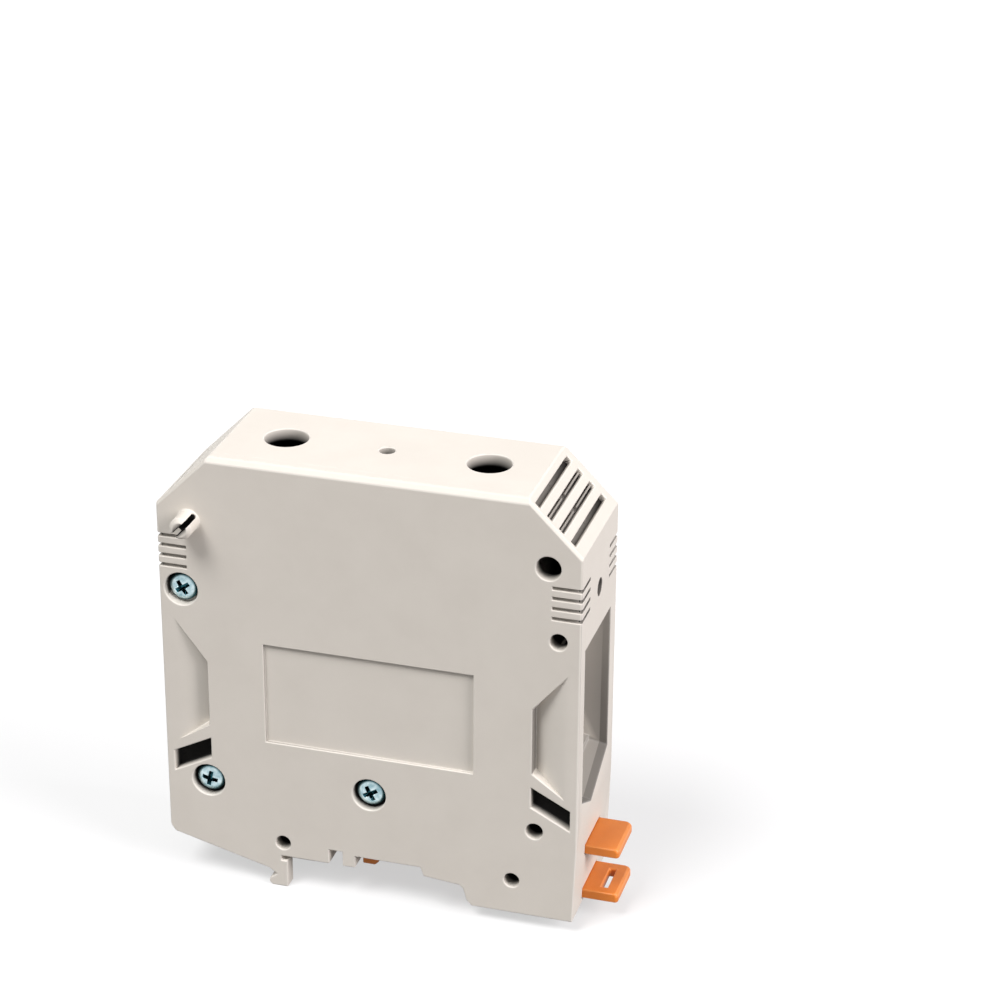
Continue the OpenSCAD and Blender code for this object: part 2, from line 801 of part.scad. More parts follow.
housing();
front_cover();
front_screw(upper_screw);  // cover_screw_upper
front_screw(lower_screw);  // cover_screw_lower
front_screw(middle_screw);  // cover_screw_middle
rear_screw(upper_screw);  // rear_screw_upper
rear_screw(lower_screw);  // rear_screw_lower
current_bar();
clamp_loop(-1);  // clamp_loop_left
clamp_loop(1);  // clamp_loop_right
tapped_block(-1);  // tapped_block_left
tapped_block(1);  // tapped_block_right
clamp_screw(-1);  // clamp_screw_left
clamp_screw(1);  // clamp_screw_right
thrust_washer(-1);  // thrust_washer_left
thrust_washer(1);  // thrust_washer_right
rail_latch();
upper_latch();
leaf_spring(rail_leaf_x, rail_latch_z1);  // rail_latch_spring
leaf_spring(upper_leaf_x, upper_latch_z + latch_t);  // upper_latch_spring
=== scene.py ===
# %% [markdown]
# # A feed-through terminal block
# The CAD solids of the block are loaded as a fixed frame, in metres. Each visible
# piece is then made again on top of its solid, with rounded edges, threads and
# grip teeth, and each gets a finish of its own. Nothing here changes a size: a
# piece takes its place from the solid that it stands for.

# %% Load the frame
import json
import math

import bmesh
import bpy
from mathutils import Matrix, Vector


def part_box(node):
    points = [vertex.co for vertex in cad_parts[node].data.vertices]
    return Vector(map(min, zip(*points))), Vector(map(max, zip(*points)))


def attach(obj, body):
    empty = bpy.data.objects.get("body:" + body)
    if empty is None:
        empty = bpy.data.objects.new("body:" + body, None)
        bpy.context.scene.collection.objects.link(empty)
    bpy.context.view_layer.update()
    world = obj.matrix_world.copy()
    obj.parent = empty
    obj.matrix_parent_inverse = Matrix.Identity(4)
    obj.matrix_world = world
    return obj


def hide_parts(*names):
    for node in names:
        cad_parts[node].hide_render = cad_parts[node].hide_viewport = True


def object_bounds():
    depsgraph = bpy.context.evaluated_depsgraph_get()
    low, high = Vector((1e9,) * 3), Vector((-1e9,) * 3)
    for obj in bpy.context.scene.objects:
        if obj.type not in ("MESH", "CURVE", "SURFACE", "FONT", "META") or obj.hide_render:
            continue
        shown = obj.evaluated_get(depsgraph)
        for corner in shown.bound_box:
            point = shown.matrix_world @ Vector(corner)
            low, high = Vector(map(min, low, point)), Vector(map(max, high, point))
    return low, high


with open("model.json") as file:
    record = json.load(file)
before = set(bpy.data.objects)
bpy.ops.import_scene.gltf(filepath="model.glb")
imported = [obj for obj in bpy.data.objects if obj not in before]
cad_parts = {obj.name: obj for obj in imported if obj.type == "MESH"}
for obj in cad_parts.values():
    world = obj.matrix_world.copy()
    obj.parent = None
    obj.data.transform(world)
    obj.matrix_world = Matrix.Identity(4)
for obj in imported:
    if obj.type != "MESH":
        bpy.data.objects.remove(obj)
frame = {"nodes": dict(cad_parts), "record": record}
cad_box = [list(corner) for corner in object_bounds()]
nodes = frame["nodes"]
mounts = {mount["name"]: mount["pos_m"] for mount in frame["record"]["mounts"]}
MM = 0.001
print("CAD box in mm:", [[round(v / MM, 1) for v in corner] for corner in cad_box])

# %% [markdown]
# ## Camera
# The camera stands to the right of the block's face and above it, with a long
# lens. Its place was worked out from the block's own straight edges, so it is
# given as a place, three angles and a focal length, and no shift is needed.

# %% Camera
CAMERA_PLACE = (0.18738, -0.55738, 0.36185)
CAMERA_TURN_DEG = (64.9792, -0.4137, 16.3338)
CAMERA_LENS_MM = 104.915
CAMERA_SENSOR_MM = 36.0
CAMERA_NEAR = 0.01

eye = bpy.data.cameras.new("camera")
eye.lens = CAMERA_LENS_MM
eye.sensor_width = CAMERA_SENSOR_MM
eye.clip_start = CAMERA_NEAR
camera = bpy.data.objects.new("camera", eye)
camera.location = CAMERA_PLACE
camera.rotation_euler = [math.radians(a) for a in CAMERA_TURN_DEG]
bpy.context.scene.collection.objects.link(camera)
bpy.context.scene.camera = camera
bpy.context.scene.view_settings.view_transform = "Standard"
print("camera at", CAMERA_PLACE)

# %% [markdown]
# ## Nodes in few lines
# Materials, the world and the floor are all node trees. One helper adds a node
# and gives each of its inputs a value or a link, so that a tree reads as a list
# of its nodes. Mix and Math nodes have inputs that share a name, so they get
# helpers of their own.

# %% Node helpers
MIX_A, MIX_B, MIX_OUT = 6, 7, 2


def put(tree, kind, settings=None, **inputs):
    """Add a node, change its settings, and set or link the inputs that are named."""
    node = tree.nodes.new(kind)
    for key, value in (settings or {}).items():
        setattr(node, key, value)
    for key, value in inputs.items():
        plug(tree, node.inputs[key.replace("_", " ")], value)
    return node


def plug(tree, socket, value):
    """Link a socket to another one, or set its own value."""
    if isinstance(value, bpy.types.NodeSocket):
        tree.links.new(value, socket)
    else:
        socket.default_value = value


def mix_colour(tree, share, first, second):
    """The first colour, going over to the second as share goes from 0 to 1."""
    node = tree.nodes.new("ShaderNodeMix")
    node.data_type = "RGBA"
    plug(tree, node.inputs["Factor"], share)
    plug(tree, node.inputs[MIX_A], first)
    plug(tree, node.inputs[MIX_B], second)
    return node.outputs[MIX_OUT]


def sums(tree, operation, first, second):
    """One Math node."""
    node = tree.nodes.new("ShaderNodeMath")
    node.operation = operation
    plug(tree, node.inputs[0], first)
    plug(tree, node.inputs[1], second)
    return node.outputs[0]


def stretch_range(tree, value, low, high, to_low, to_high):
    """Map a value from one range to another, and hold it there."""
    node = put(
        tree,
        "ShaderNodeMapRange",
        Value=value,
        From_Min=low,
        From_Max=high,
        To_Min=to_low,
        To_Max=to_high,
    )
    return node.outputs["Result"]


def seen_ray(tree):
    """1 for the rays that show a surface itself: to the camera, or by way of metal or glass."""
    path = tree.nodes.new("ShaderNodeLightPath")
    mirror = sums(
        tree, "MAXIMUM", path.outputs["Is Glossy Ray"], path.outputs["Is Transmission Ray"]
    )
    return sums(tree, "MAXIMUM", path.outputs["Is Camera Ray"], mirror)


print("node helpers ready")

# %% [markdown]
# ## Studio
# The light is soft and comes mostly from above, with a wide lamp to the right
# that lifts the end of the block above its face. Two suns with a wide angle give
# this evenly over the whole block. The floor and the sky are white to the eye,
# and give the block less light than they show, so that its face keeps its tone.
# About half of the floor's white is its own, which keeps the shadow light.

# %% World
WHITE = (1.0, 1.0, 1.0, 1.0)
SKY_LIGHT = (0.36, 0.36, 0.365, 1.0)

world = bpy.data.worlds.new("studio")
world.use_nodes = True
sky = world.node_tree
sky.nodes.clear()
sky_light = put(sky, "ShaderNodeBackground", Color=SKY_LIGHT, Strength=1.0)
sky_shown = put(sky, "ShaderNodeBackground", Color=WHITE, Strength=1.0)
sky_mix = put(sky, "ShaderNodeMixShader", Fac=seen_ray(sky))
sky.links.new(sky_light.outputs[0], sky_mix.inputs[1])
sky.links.new(sky_shown.outputs[0], sky_mix.inputs[2])
put(sky, "ShaderNodeOutputWorld", Surface=sky_mix.outputs[0])
bpy.context.scene.world = world
print("sky light", SKY_LIGHT[:3])

# %% Lamps
LAMPS = {
    "overhead_lamp": {
        "towards": (-0.30, -0.44, 0.85),
        "power": 2.42,
        "angle": 26.0,
        "tint": (1.0, 1.0, 1.0),
    },
    "right_lamp": {
        "towards": (0.85, -0.20, 0.48),
        "power": 2.8,
        "angle": 34.0,
        "tint": (1.0, 0.965, 0.985),
    },
}

for name, lamp in LAMPS.items():
    light = bpy.data.lights.new(name, "SUN")
    light.energy = lamp["power"]
    light.color = lamp["tint"]
    light.angle = math.radians(lamp["angle"])
    holder = bpy.data.objects.new(name, light)
    holder.rotation_euler = Vector(lamp["towards"]).to_track_quat("Z", "Y").to_euler()
    bpy.context.scene.collection.objects.link(holder)
print("lamps:", sorted(LAMPS))

# %% Floor
FLOOR_SHOWN = (0.86, 0.86, 0.86, 1.0)
FLOOR_LIGHT = (0.18, 0.178, 0.175, 1.0)
FLOOR_GLOW = 0.55
FLOOR_SIZE = 12.0

floor_paint = bpy.data.materials.new("floor_paint")
floor_paint.use_nodes = True
tree = floor_paint.node_tree
tree.nodes.clear()
shown = seen_ray(tree)
floor_colour = mix_colour(tree, shown, FLOOR_LIGHT, FLOOR_SHOWN)
floor_lit = put(tree, "ShaderNodeBsdfDiffuse", Color=floor_colour)
floor_glow = put(tree, "ShaderNodeEmission", Color=WHITE, Strength=1.0)
floor_mix = put(tree, "ShaderNodeMixShader", Fac=sums(tree, "MULTIPLY", shown, FLOOR_GLOW))
tree.links.new(floor_lit.outputs[0], floor_mix.inputs[1])
tree.links.new(floor_glow.outputs[0], floor_mix.inputs[2])
put(tree, "ShaderNodeOutputMaterial", Surface=floor_mix.outputs[0])

bpy.ops.object.select_all(action="DESELECT")
bpy.ops.mesh.primitive_plane_add(size=FLOOR_SIZE, location=(0, 0, cad_box[0][2]))
floor = bpy.context.object
floor.name = "floor"
bpy.ops.object.transform_apply()
floor.data.materials.append(floor_paint)
print("floor at", round(cad_box[0][2] / MM, 2), "mm")

# %% [markdown]
# ## Two skins
# All pieces are either moulded or metal, so two node groups hold what such
# surfaces share. Both read an attribute that each piece gets where its edges are
# rounded: it makes them smoother, and on plastic it lightens them as a painted
# highlight. Both also read the attribute recess, which says how far a place lies
# inside a hole or a driver's cross. There both skins get a painted shade, going
# dark, and the plastic is also dusty and dull.

# %% Group helpers
EDGE_WEAR_AND_HIGHLIGHT, RECESS = "edge_wear_and_highlight", "recess"
EDGE_POLISH = 0.10
SKIN_OUTPUTS = [
    ("Color", "NodeSocketColor"),
    ("Roughness", "NodeSocketFloat"),
    ("Height", "NodeSocketFloat"),
]


def new_group(name, inputs, outputs):
    """An empty shader group with named sockets, and the outputs of its input node."""
    group = bpy.data.node_groups.new(name, "ShaderNodeTree")
    for label, kind, value in inputs:
        socket = group.interface.new_socket(name=label, in_out="INPUT", socket_type=kind)
        socket.default_value = value
    for label, kind in outputs:
        group.interface.new_socket(name=label, in_out="OUTPUT", socket_type=kind)
    return group, group.nodes.new("NodeGroupInput").outputs


def painted(tree, attribute):
    """The value of a painted attribute, 0 on a piece that has none."""
    return put(tree, "ShaderNodeAttribute", {"attribute_name": attribute}).outputs["Fac"]


print("skin outputs:", [label for label, kind in SKIN_OUTPUTS])

# %% [markdown]
# The moulded skin has the fine spark-eroded grain that a mould leaves, soft clouds
# where the melt cooled unevenly, and edges that are rubbed smoother and get a
# painted highlight, lighter. Deep in a hole its colour goes to a painted shade.
# Noise gives the clouds and the grain, and Voronoi cells the pits between the
# grains, all on Object coordinates, so that the pattern keeps its scale.

# %% Moulded skin
CLOUD_SPAN, SPECK_SPAN, SPECK_SHARE = (0.35, 0.68), (0.55, 0.75), 0.35
PIT_SCALE, GRAIN_RELIEF, PIT_RELIEF = 0.6, 0.7, 0.3
GRAIN_SPAN, MATT_SWING = (0.3, 0.7), 0.06
EDGE_HIGHLIGHT_SHARE, DUST_MATT = 0.7, 0.45

moulded_skin, given = new_group(
    "moulded_skin",
    [
        ("Tint", "NodeSocketColor", WHITE),
        ("Cloud Tint", "NodeSocketColor", WHITE),
        ("Edge Tint", "NodeSocketColor", WHITE),
        ("Recess Shade Tint", "NodeSocketColor", WHITE),
        ("Cloud Scale", "NodeSocketFloat", 90.0),
        ("Grain Scale", "NodeSocketFloat", 2600.0),
        ("Matt", "NodeSocketFloat", 0.5),
    ],
    SKIN_OUTPUTS,
)
tree = moulded_skin
place = tree.nodes.new("ShaderNodeTexCoord").outputs["Object"]
edge = painted(tree, EDGE_WEAR_AND_HIGHLIGHT)
hidden = painted(tree, RECESS)
cloud = put(
    tree, "ShaderNodeTexNoise", Vector=place, Scale=given["Cloud Scale"], Detail=3.0, Roughness=0.6
).outputs["Fac"]
grain = put(
    tree, "ShaderNodeTexNoise", Vector=place, Scale=given["Grain Scale"], Detail=2.0
).outputs["Fac"]
pit_scale = sums(tree, "MULTIPLY", given["Grain Scale"], PIT_SCALE)
pits = put(tree, "ShaderNodeTexVoronoi", Vector=place, Scale=pit_scale).outputs["Distance"]
clouds = stretch_range(tree, cloud, *CLOUD_SPAN, 0.0, 1.0)
specks = stretch_range(tree, grain, *SPECK_SPAN, 0.0, SPECK_SHARE)
clouded = mix_colour(tree, clouds, given["Tint"], given["Cloud Tint"])
speckled = mix_colour(tree, specks, clouded, given["Cloud Tint"])
# Painted highlight, with wear: the rounded edges are made lighter.
edge_highlighted = mix_colour(
    tree, sums(tree, "MULTIPLY", edge, EDGE_HIGHLIGHT_SHARE), speckled, given["Edge Tint"]
)
# Painted shade: deeper in a hole the colour goes to the recess shade tint.
sunk = mix_colour(tree, hidden, edge_highlighted, given["Recess Shade Tint"])
swing = stretch_range(tree, grain, *GRAIN_SPAN, -MATT_SWING, MATT_SWING)
matt = sums(tree, "ADD", given["Matt"], swing)
worn_matt = sums(tree, "SUBTRACT", matt, sums(tree, "MULTIPLY", edge, EDGE_POLISH))
dusty_matt = sums(tree, "ADD", worn_matt, sums(tree, "MULTIPLY", hidden, DUST_MATT))
grain_height = sums(tree, "MULTIPLY", grain, GRAIN_RELIEF)
relief = sums(tree, "ADD", grain_height, sums(tree, "MULTIPLY", pits, PIT_RELIEF))
put(tree, "NodeGroupOutput", Color=sunk, Roughness=dusty_matt, Height=relief)
print("skin:", moulded_skin.name)

# %% [markdown]
# The metal skin has lines along the way it was rolled or turned, clouds in its
# plating, and edges that are polished by handling. The lines are noise that a
# Mapping node stretches, so each metal says which way its lines run.

# %% Metal skin
PLATING_SPAN, LINE_SPAN, LINE_SHARE = (0.35, 0.7), (0.5, 0.8), 0.5
DULL_SPAN, DULL_SWING = (0.3, 0.7), (-0.08, 0.10)

metal_skin, given = new_group(
    "metal_skin",
    [
        ("Tint", "NodeSocketColor", WHITE),
        ("Cloud Tint", "NodeSocketColor", WHITE),
        ("Recess Shade Tint", "NodeSocketColor", WHITE),
        ("Line Scale", "NodeSocketVector", (600.0, 600.0, 600.0)),
        ("Cloud Scale", "NodeSocketFloat", 300.0),
        ("Dull", "NodeSocketFloat", 0.3),
    ],
    SKIN_OUTPUTS,
)
tree = metal_skin
place = tree.nodes.new("ShaderNodeTexCoord").outputs["Object"]
edge = painted(tree, EDGE_WEAR_AND_HIGHLIGHT)
hidden = painted(tree, RECESS)
drawn = put(tree, "ShaderNodeMapping", Vector=place, Scale=given["Line Scale"]).outputs["Vector"]
lines = put(tree, "ShaderNodeTexNoise", Vector=drawn, Scale=1.0, Detail=4.0).outputs["Fac"]
cloud = put(
    tree, "ShaderNodeTexNoise", Vector=place, Scale=given["Cloud Scale"], Detail=3.0
).outputs["Fac"]
clouds = stretch_range(tree, cloud, *PLATING_SPAN, 0.0, 1.0)
plated = mix_colour(tree, clouds, given["Tint"], given["Cloud Tint"])
streaks = stretch_range(tree, lines, *LINE_SPAN, 0.0, LINE_SHARE)
lined = mix_colour(tree, streaks, plated, given["Cloud Tint"])
# Painted shade in the cross and below the head, painted dark reflection on the rim.
plating_shaded = mix_colour(tree, hidden, lined, given["Recess Shade Tint"])
dull = sums(tree, "ADD", given["Dull"], stretch_range(tree, lines, *DULL_SPAN, *DULL_SWING))
worn_dull = sums(tree, "SUBTRACT", dull, sums(tree, "MULTIPLY", edge, EDGE_POLISH))
put(tree, "NodeGroupOutput", Color=plating_shaded, Roughness=worn_dull, Height=lines)
print("skin:", metal_skin.name)

# %% [markdown]
# ## Finishes
# Each slot of the part's record gets one material. The group gives the colour,
# the roughness and the height of the relief, and the shader itself stays in the
# material. The case is a dry, filled plastic with little gloss. The relief is
# about a hundredth of a millimetre high, as on the real surface.

# %% Material helper
MATERIALS = {}


def finish(slot, skin, values, relief, metallic=0.0, gloss=0.5):
    """A material of one Principled shader that takes its pattern from a skin group."""
    material = bpy.data.materials.new(slot)
    material.use_nodes = True
    tree = material.node_tree
    tree.nodes.clear()
    pattern = put(tree, "ShaderNodeGroup", {"node_tree": skin})
    for label, value in values.items():
        pattern.inputs[label].default_value = value
    bump = put(
        tree, "ShaderNodeBump", Strength=1.0, Distance=relief, Height=pattern.outputs["Height"]
    )
    shader = put(
        tree,
        "ShaderNodeBsdfPrincipled",
        Base_Color=pattern.outputs["Color"],
        Roughness=pattern.outputs["Roughness"],
        Normal=bump.outputs["Normal"],
        Specular_IOR_Level=gloss,
        Metallic=metallic,
    )
    put(tree, "ShaderNodeOutputMaterial", Surface=shader.outputs["BSDF"])
    MATERIALS[slot] = material


print("material helper ready")

# %% Plastics
finish(
    "case_plastic",
    moulded_skin,
    {
        "Tint": (0.708, 0.662, 0.598, 1.0),
        "Cloud Tint": (0.684, 0.638, 0.575, 1.0),
        # lighter rounded edges: a painted highlight, with wear
        "Edge Tint": (0.730, 0.690, 0.632, 1.0),
        # painted shade deep in the holes and pockets, near black
        "Recess Shade Tint": (0.005, 0.0045, 0.004, 1.0),
        "Cloud Scale": 85.0,
        "Grain Scale": 2400.0,
        "Matt": 0.52,
    },
    relief=0.012 * MM,
    gloss=0.22,
)
finish(
    "latch_plastic",
    moulded_skin,
    {
        "Tint": (0.770, 0.222, 0.026, 1.0),
        "Cloud Tint": (0.715, 0.194, 0.020, 1.0),
        # lighter rounded edges: a painted highlight, with wear
        "Edge Tint": (0.830, 0.285, 0.065, 1.0),
        # painted shade tint for recesses
        "Recess Shade Tint": (0.300, 0.060, 0.012, 1.0),
        "Cloud Scale": 160.0,
        "Grain Scale": 2800.0,
        "Matt": 0.44,
    },
    relief=0.010 * MM,
)
print("plastics:", sorted(MATERIALS))

# %% Metals
finish(
    "zinc_screw",
    metal_skin,
    {
        "Tint": (0.640, 0.770, 0.800, 1.0),
        "Cloud Tint": (0.240, 0.400, 0.450, 1.0),
        # painted shade in the cross and a painted dark reflection on the rim
        "Recess Shade Tint": (0.020, 0.085, 0.105, 1.0),
        "Line Scale": (900.0, 900.0, 900.0),
        "Cloud Scale": 620.0,
        "Dull": 0.24,
    },
    relief=0.006 * MM,
    metallic=1.0,
)
finish(
    "zinc_strip",
    metal_skin,
    {
        "Tint": (0.700, 0.715, 0.720, 1.0),
        "Cloud Tint": (0.560, 0.575, 0.590, 1.0),
        "Line Scale": (2600.0, 120.0, 120.0),
        "Cloud Scale": 260.0,
        "Dull": 0.34,
    },
    relief=0.008 * MM,
    metallic=1.0,
)
finish(
    "clamp_steel",
    metal_skin,
    {
        "Tint": (0.560, 0.565, 0.570, 1.0),
        "Cloud Tint": (0.430, 0.435, 0.450, 1.0),
        "Line Scale": (300.0, 300.0, 3200.0),
        "Cloud Scale": 300.0,
        "Dull": 0.36,
    },
    relief=0.008 * MM,
    metallic=1.0,
)
finish(
    "spring_steel",
    metal_skin,
    {
        "Tint": (0.420, 0.430, 0.450, 1.0),
        "Cloud Tint": (0.300, 0.310, 0.345, 1.0),
        "Line Scale": (160.0, 3000.0, 160.0),
        "Cloud Scale": 500.0,
        "Dull": 0.28,
    },
    relief=0.005 * MM,
    metallic=1.0,
)
finish(
    "bar_copper",
    metal_skin,
    {
        "Tint": (0.830, 0.440, 0.290, 1.0),
        "Cloud Tint": (0.640, 0.290, 0.170, 1.0),
        "Line Scale": (90.0, 2600.0, 2600.0),
        "Cloud Scale": 180.0,
        "Dull": 0.30,
    },
    relief=0.008 * MM,
    metallic=1.0,
)
print("finishes:", sorted(MATERIALS))

# %% [markdown]
# ## Working on a mesh
# A mesh is shaped as by hand: one piece is made active, edit mode is entered,
# and the vertices, edges or faces to work on are picked by their place. A small
# test function says which ones they are. A new shape starts as a cube or a
# cylinder of its real size, and a piece whose outline the CAD already has starts
# as a merged copy of that solid.

# %% Edit helpers
CLOSE, MERGE = 0.02 * MM, 0.002 * MM
FLAT_DEG = 0.3
FACING = 0.9
X, Y, Z = 0, 1, 2


def only(piece):
    """Select one object and make it active."""
    bpy.ops.object.select_all(action="DESELECT")
    piece.select_set(True)
    bpy.context.view_layer.objects.active = piece


def start_edit(piece):
    only(piece)
    bpy.ops.object.mode_set(mode="EDIT")


def end_edit():
    bpy.ops.object.mode_set(mode="OBJECT")


def pick(piece, kind, test):
    """In edit mode, select the VERT, EDGE or FACE items that pass a test."""
    bpy.ops.mesh.select_mode(type=kind)
    bpy.ops.mesh.select_all(action="DESELECT")
    mesh = bmesh.from_edit_mesh(piece.data)
    items = {"VERT": mesh.verts, "EDGE": mesh.edges, "FACE": mesh.faces}[kind]
    found = [item for item in items if test(item)]
    for item in found:
        item.select_set(True)
    bmesh.update_edit_mesh(piece.data)
    return len(found)


def pick_all(kind="FACE"):
    bpy.ops.mesh.select_mode(type=kind)
    bpy.ops.mesh.select_all(action="SELECT")


def at(edge, axis, value):
    """True if both ends of an edge lie at one value of an axis."""
    return all(abs(v.co[axis] - value) < CLOSE for v in edge.verts)


def facing(axis, way):
    """A test for the faces that look one way along an axis."""
    return lambda face: face.normal[axis] * way > FACING


def apply_modifier(piece, modifier):
    only(piece)
    bpy.ops.object.modifier_apply(modifier=modifier.name)


print("edit helpers ready")

# %% Starting shapes
def new_block(place, size, turn=(0, 0, 0)):
    """A cube of a size, a place and a turn, all put into its mesh."""
    bpy.ops.object.select_all(action="DESELECT")
    bpy.ops.mesh.primitive_cube_add(size=1, location=place)
    block = bpy.context.object
    block.scale = size
    block.rotation_euler = turn
    bpy.ops.object.transform_apply()
    return block


def new_rod(sides, radius, length, place):
    """An upright cylinder, with its place put into its mesh."""
    bpy.ops.object.select_all(action="DESELECT")
    bpy.ops.mesh.primitive_cylinder_add(
        vertices=sides, radius=radius, depth=length, location=place
    )
    bpy.ops.object.transform_apply()
    return bpy.context.object


def cast_from(node, name):
    """A new piece with a merged copy of a CAD node's mesh, its flat faces made whole."""
    mesh = nodes[node].data.copy()
    mesh.materials.clear()
    piece = bpy.data.objects.new(name, mesh)
    bpy.context.scene.collection.objects.link(piece)
    start_edit(piece)
    pick_all()
    bpy.ops.mesh.remove_doubles(threshold=MERGE)
    bpy.ops.mesh.dissolve_limited(angle_limit=math.radians(FLAT_DEG))
    end_edit()
    bpy.ops.mesh.customdata_custom_splitnormals_clear()
    return piece


def set_copy(master, name, place, turn=(0, 0, 0)):
    """A copy with its own mesh, moved and turned in its mesh."""
    piece = bpy.data.objects.new(name, master.data.copy())
    piece.location = place
    piece.rotation_euler = turn
    bpy.context.scene.collection.objects.link(piece)
    only(piece)
    bpy.ops.object.transform_apply()
    return piece


def join_to(piece, others):
    """Join other objects to a piece."""
    only(piece)
    for other in others:
        other.select_set(True)
    bpy.ops.object.join()


def cut(piece, cutter, operation="DIFFERENCE"):
    """Boolean a piece with another, which is used up."""
    knife = piece.modifiers.new("knife", "BOOLEAN")
    knife.operation = operation
    knife.solver = "EXACT"
    knife.object = cutter
    apply_modifier(piece, knife)
    bpy.data.objects.remove(cutter)


def dress(piece, slot, body, *stands_for):
    """Give a piece its finish and its body, and hide the CAD nodes that it stands for."""
    piece.data.materials.clear()
    piece.data.materials.append(MATERIALS[slot])
    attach(piece, body)
    if stands_for:
        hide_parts(*stands_for)


print("starting shapes ready")

# %% [markdown]
# ## Rounded edges
# No moulded or stamped edge is sharp. Every sharp edge gets a bevel weight, and a
# Bevel modifier rounds them. Kinds of edges that need a smaller radius are known
# by a test and get a share of the full weight, down to the hairline joint where
# two mouldings meet edge to edge. No edge takes more than about half of the room
# that the faces beside it leave, so that two roundings never cross on a narrow
# face. The new faces of the bevel are marked in an attribute that the skins read
# for edge wear and for a painted highlight, and weighted normals keep the flat
# faces flat.

# %% Edge rounding
SHARP_DEG, SMOOTH_DEG = 25.0, 38.0
ROOM_SHARE = 0.45
STEEP = 0.5
WEIGHT = "bevel_weight_edge"
BEVEL_SLOT = 1


def steep(way, along):
    """True if a way leaves an edge at more than 30 degrees."""
    return way.length > 0 and way.cross(along).length > STEEP * way.length


def room_beside(edge):
    """The shortest way from an edge, in its own faces, along the edges that leave it."""
    ways = []
    for loop in edge.link_loops:
        start, end = loop.vert.co, loop.link_loop_next.vert.co
        along = (end - start).normalized()
        before = loop.link_loop_prev.vert.co - start
        after = loop.link_loop_next.link_loop_next.vert.co - end
        ways += [way.cross(along).length for way in (before, after) if steep(way, along)]
    return min(ways, default=1.0)


def mark_wear_and_highlight(piece):
    """Write the mark for edge wear and painted highlight from the slot that the bevel filled."""
    mesh = piece.data
    wear = mesh.attributes.new(EDGE_WEAR_AND_HIGHLIGHT, "FLOAT", "FACE")
    for face in mesh.polygons:
        wear.data[face.index].value = float(face.material_index == BEVEL_SLOT)
        face.material_index = 0


def smooth(piece):
    only(piece)
    bpy.ops.object.shade_smooth_by_angle(angle=math.radians(SMOOTH_DEG))
    weighted = piece.modifiers.new("weighted", "WEIGHTED_NORMAL")
    weighted.keep_sharp = True
    apply_modifier(piece, weighted)


def soften(piece, width, segments=3, shares=()):
    """Round all sharp edges, with a share of the width for those that pass a test."""
    piece.data.materials.clear()
    for _ in range(BEVEL_SLOT + 1):
        piece.data.materials.append(None)
    mesh = bmesh.new()
    mesh.from_mesh(piece.data)
    weight = mesh.edges.layers.float.new(WEIGHT)
    for edge in mesh.edges:
        if edge.calc_face_angle(0.0) > math.radians(SHARP_DEG):
            share = next((share for test, share in shares if test(edge)), 1.0)
            edge[weight] = min(share, ROOM_SHARE * room_beside(edge) / width)
    mesh.to_mesh(piece.data)
    mesh.free()
    rounding = piece.modifiers.new("rounding", "BEVEL")
    rounding.limit_method = "WEIGHT"
    rounding.width = width
    rounding.segments = segments
    rounding.use_clamp_overlap = False
    rounding.loop_slide = False
    rounding.material = BEVEL_SLOT
    apply_modifier(piece, rounding)
    mark_wear_and_highlight(piece)
    smooth(piece)


print("edge rounding ready")

# %% [markdown]
# ## Case
# The case is two mouldings, a deep shell and the plate that closes its front.
# Their shape comes from the CAD, and what a moulding has more is the radius on
# every edge, which catches the light as a pale rim round each pocket and hole.
# The radius is wide along the top, small at the grip grooves and the rating
# field, and next to nothing at the joint between the two mouldings. The end and
# the top of the case are read from the solid, and rounded to a micrometre,
# because a mesh keeps its places in single precision only.

# %% Kinds of edges on the case
CASE_RADIUS = 0.60 * MM
SHOULDER = 12.5 * MM
FACE_NEAR, TOP_BAND = 1.3 * MM, 1.5 * MM
PLATE_HALF, PLATE_LOW, PLATE_HIGH = 25.5 * MM, 29.0 * MM, 56.0 * MM
GROOVE_IN, GROOVE_LOW, GROOVE_HIGH = 41.5 * MM, 70.8 * MM, 80.0 * MM
MICROMETRE_DIGITS = 6
housing_lo, housing_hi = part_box("housing")
joint_y = housing_lo.y
side_x, top_z = [round(value, MICROMETRE_DIGITS) for value in (housing_hi.x, housing_hi.z)]
front_y, rear_y = mounts["row_face_front"][Y], mounts["row_face_rear"][Y]


def middle(edge):
    return (edge.verts[0].co + edge.verts[1].co) / 2


def near_face(place):
    """True close to the front, the rear or a side of the case."""
    return min(place.y - front_y, rear_y - place.y, side_x - abs(place.x)) < FACE_NEAR


def at_joint(edge):
    return at(edge, Y, joint_y)


def at_top(edge):
    place = middle(edge)
    return place.z > top_z - TOP_BAND and abs(place.y) > rear_y - TOP_BAND


def at_fine(edge):
    """Edges of the rating field and the grip grooves."""
    place = middle(edge)
    plate = abs(place.x) < PLATE_HALF and PLATE_LOW < place.z < PLATE_HIGH
    groove = abs(place.x) > GROOVE_IN and GROOVE_LOW < place.z < GROOVE_HIGH
    return (plate or groove) and near_face(place)


def at_peg(edge):
    return abs(middle(edge).y) > rear_y + CLOSE


def below_top(edge):
    return not at_top(edge)


CASE_SHARES = ((at_joint, 0.08), (at_peg, 0.25), (at_fine, 0.35), (below_top, 0.50))
print("joint of the case at", round(joint_y / MM, 2), "mm")

# %% [markdown]
# Each louvre of a shoulder has a strip across its depth that keeps fingers and
# wires out, and the two middle louvres have a thin rib on it. Half of each lies on
# the plate and half on the shell. Each half is a slim bar with its root inside the
# moulding that carries it, laid at the slope of the shoulder. A bar is simply
# joined to its moulding, because nothing shows of the places where they meet.

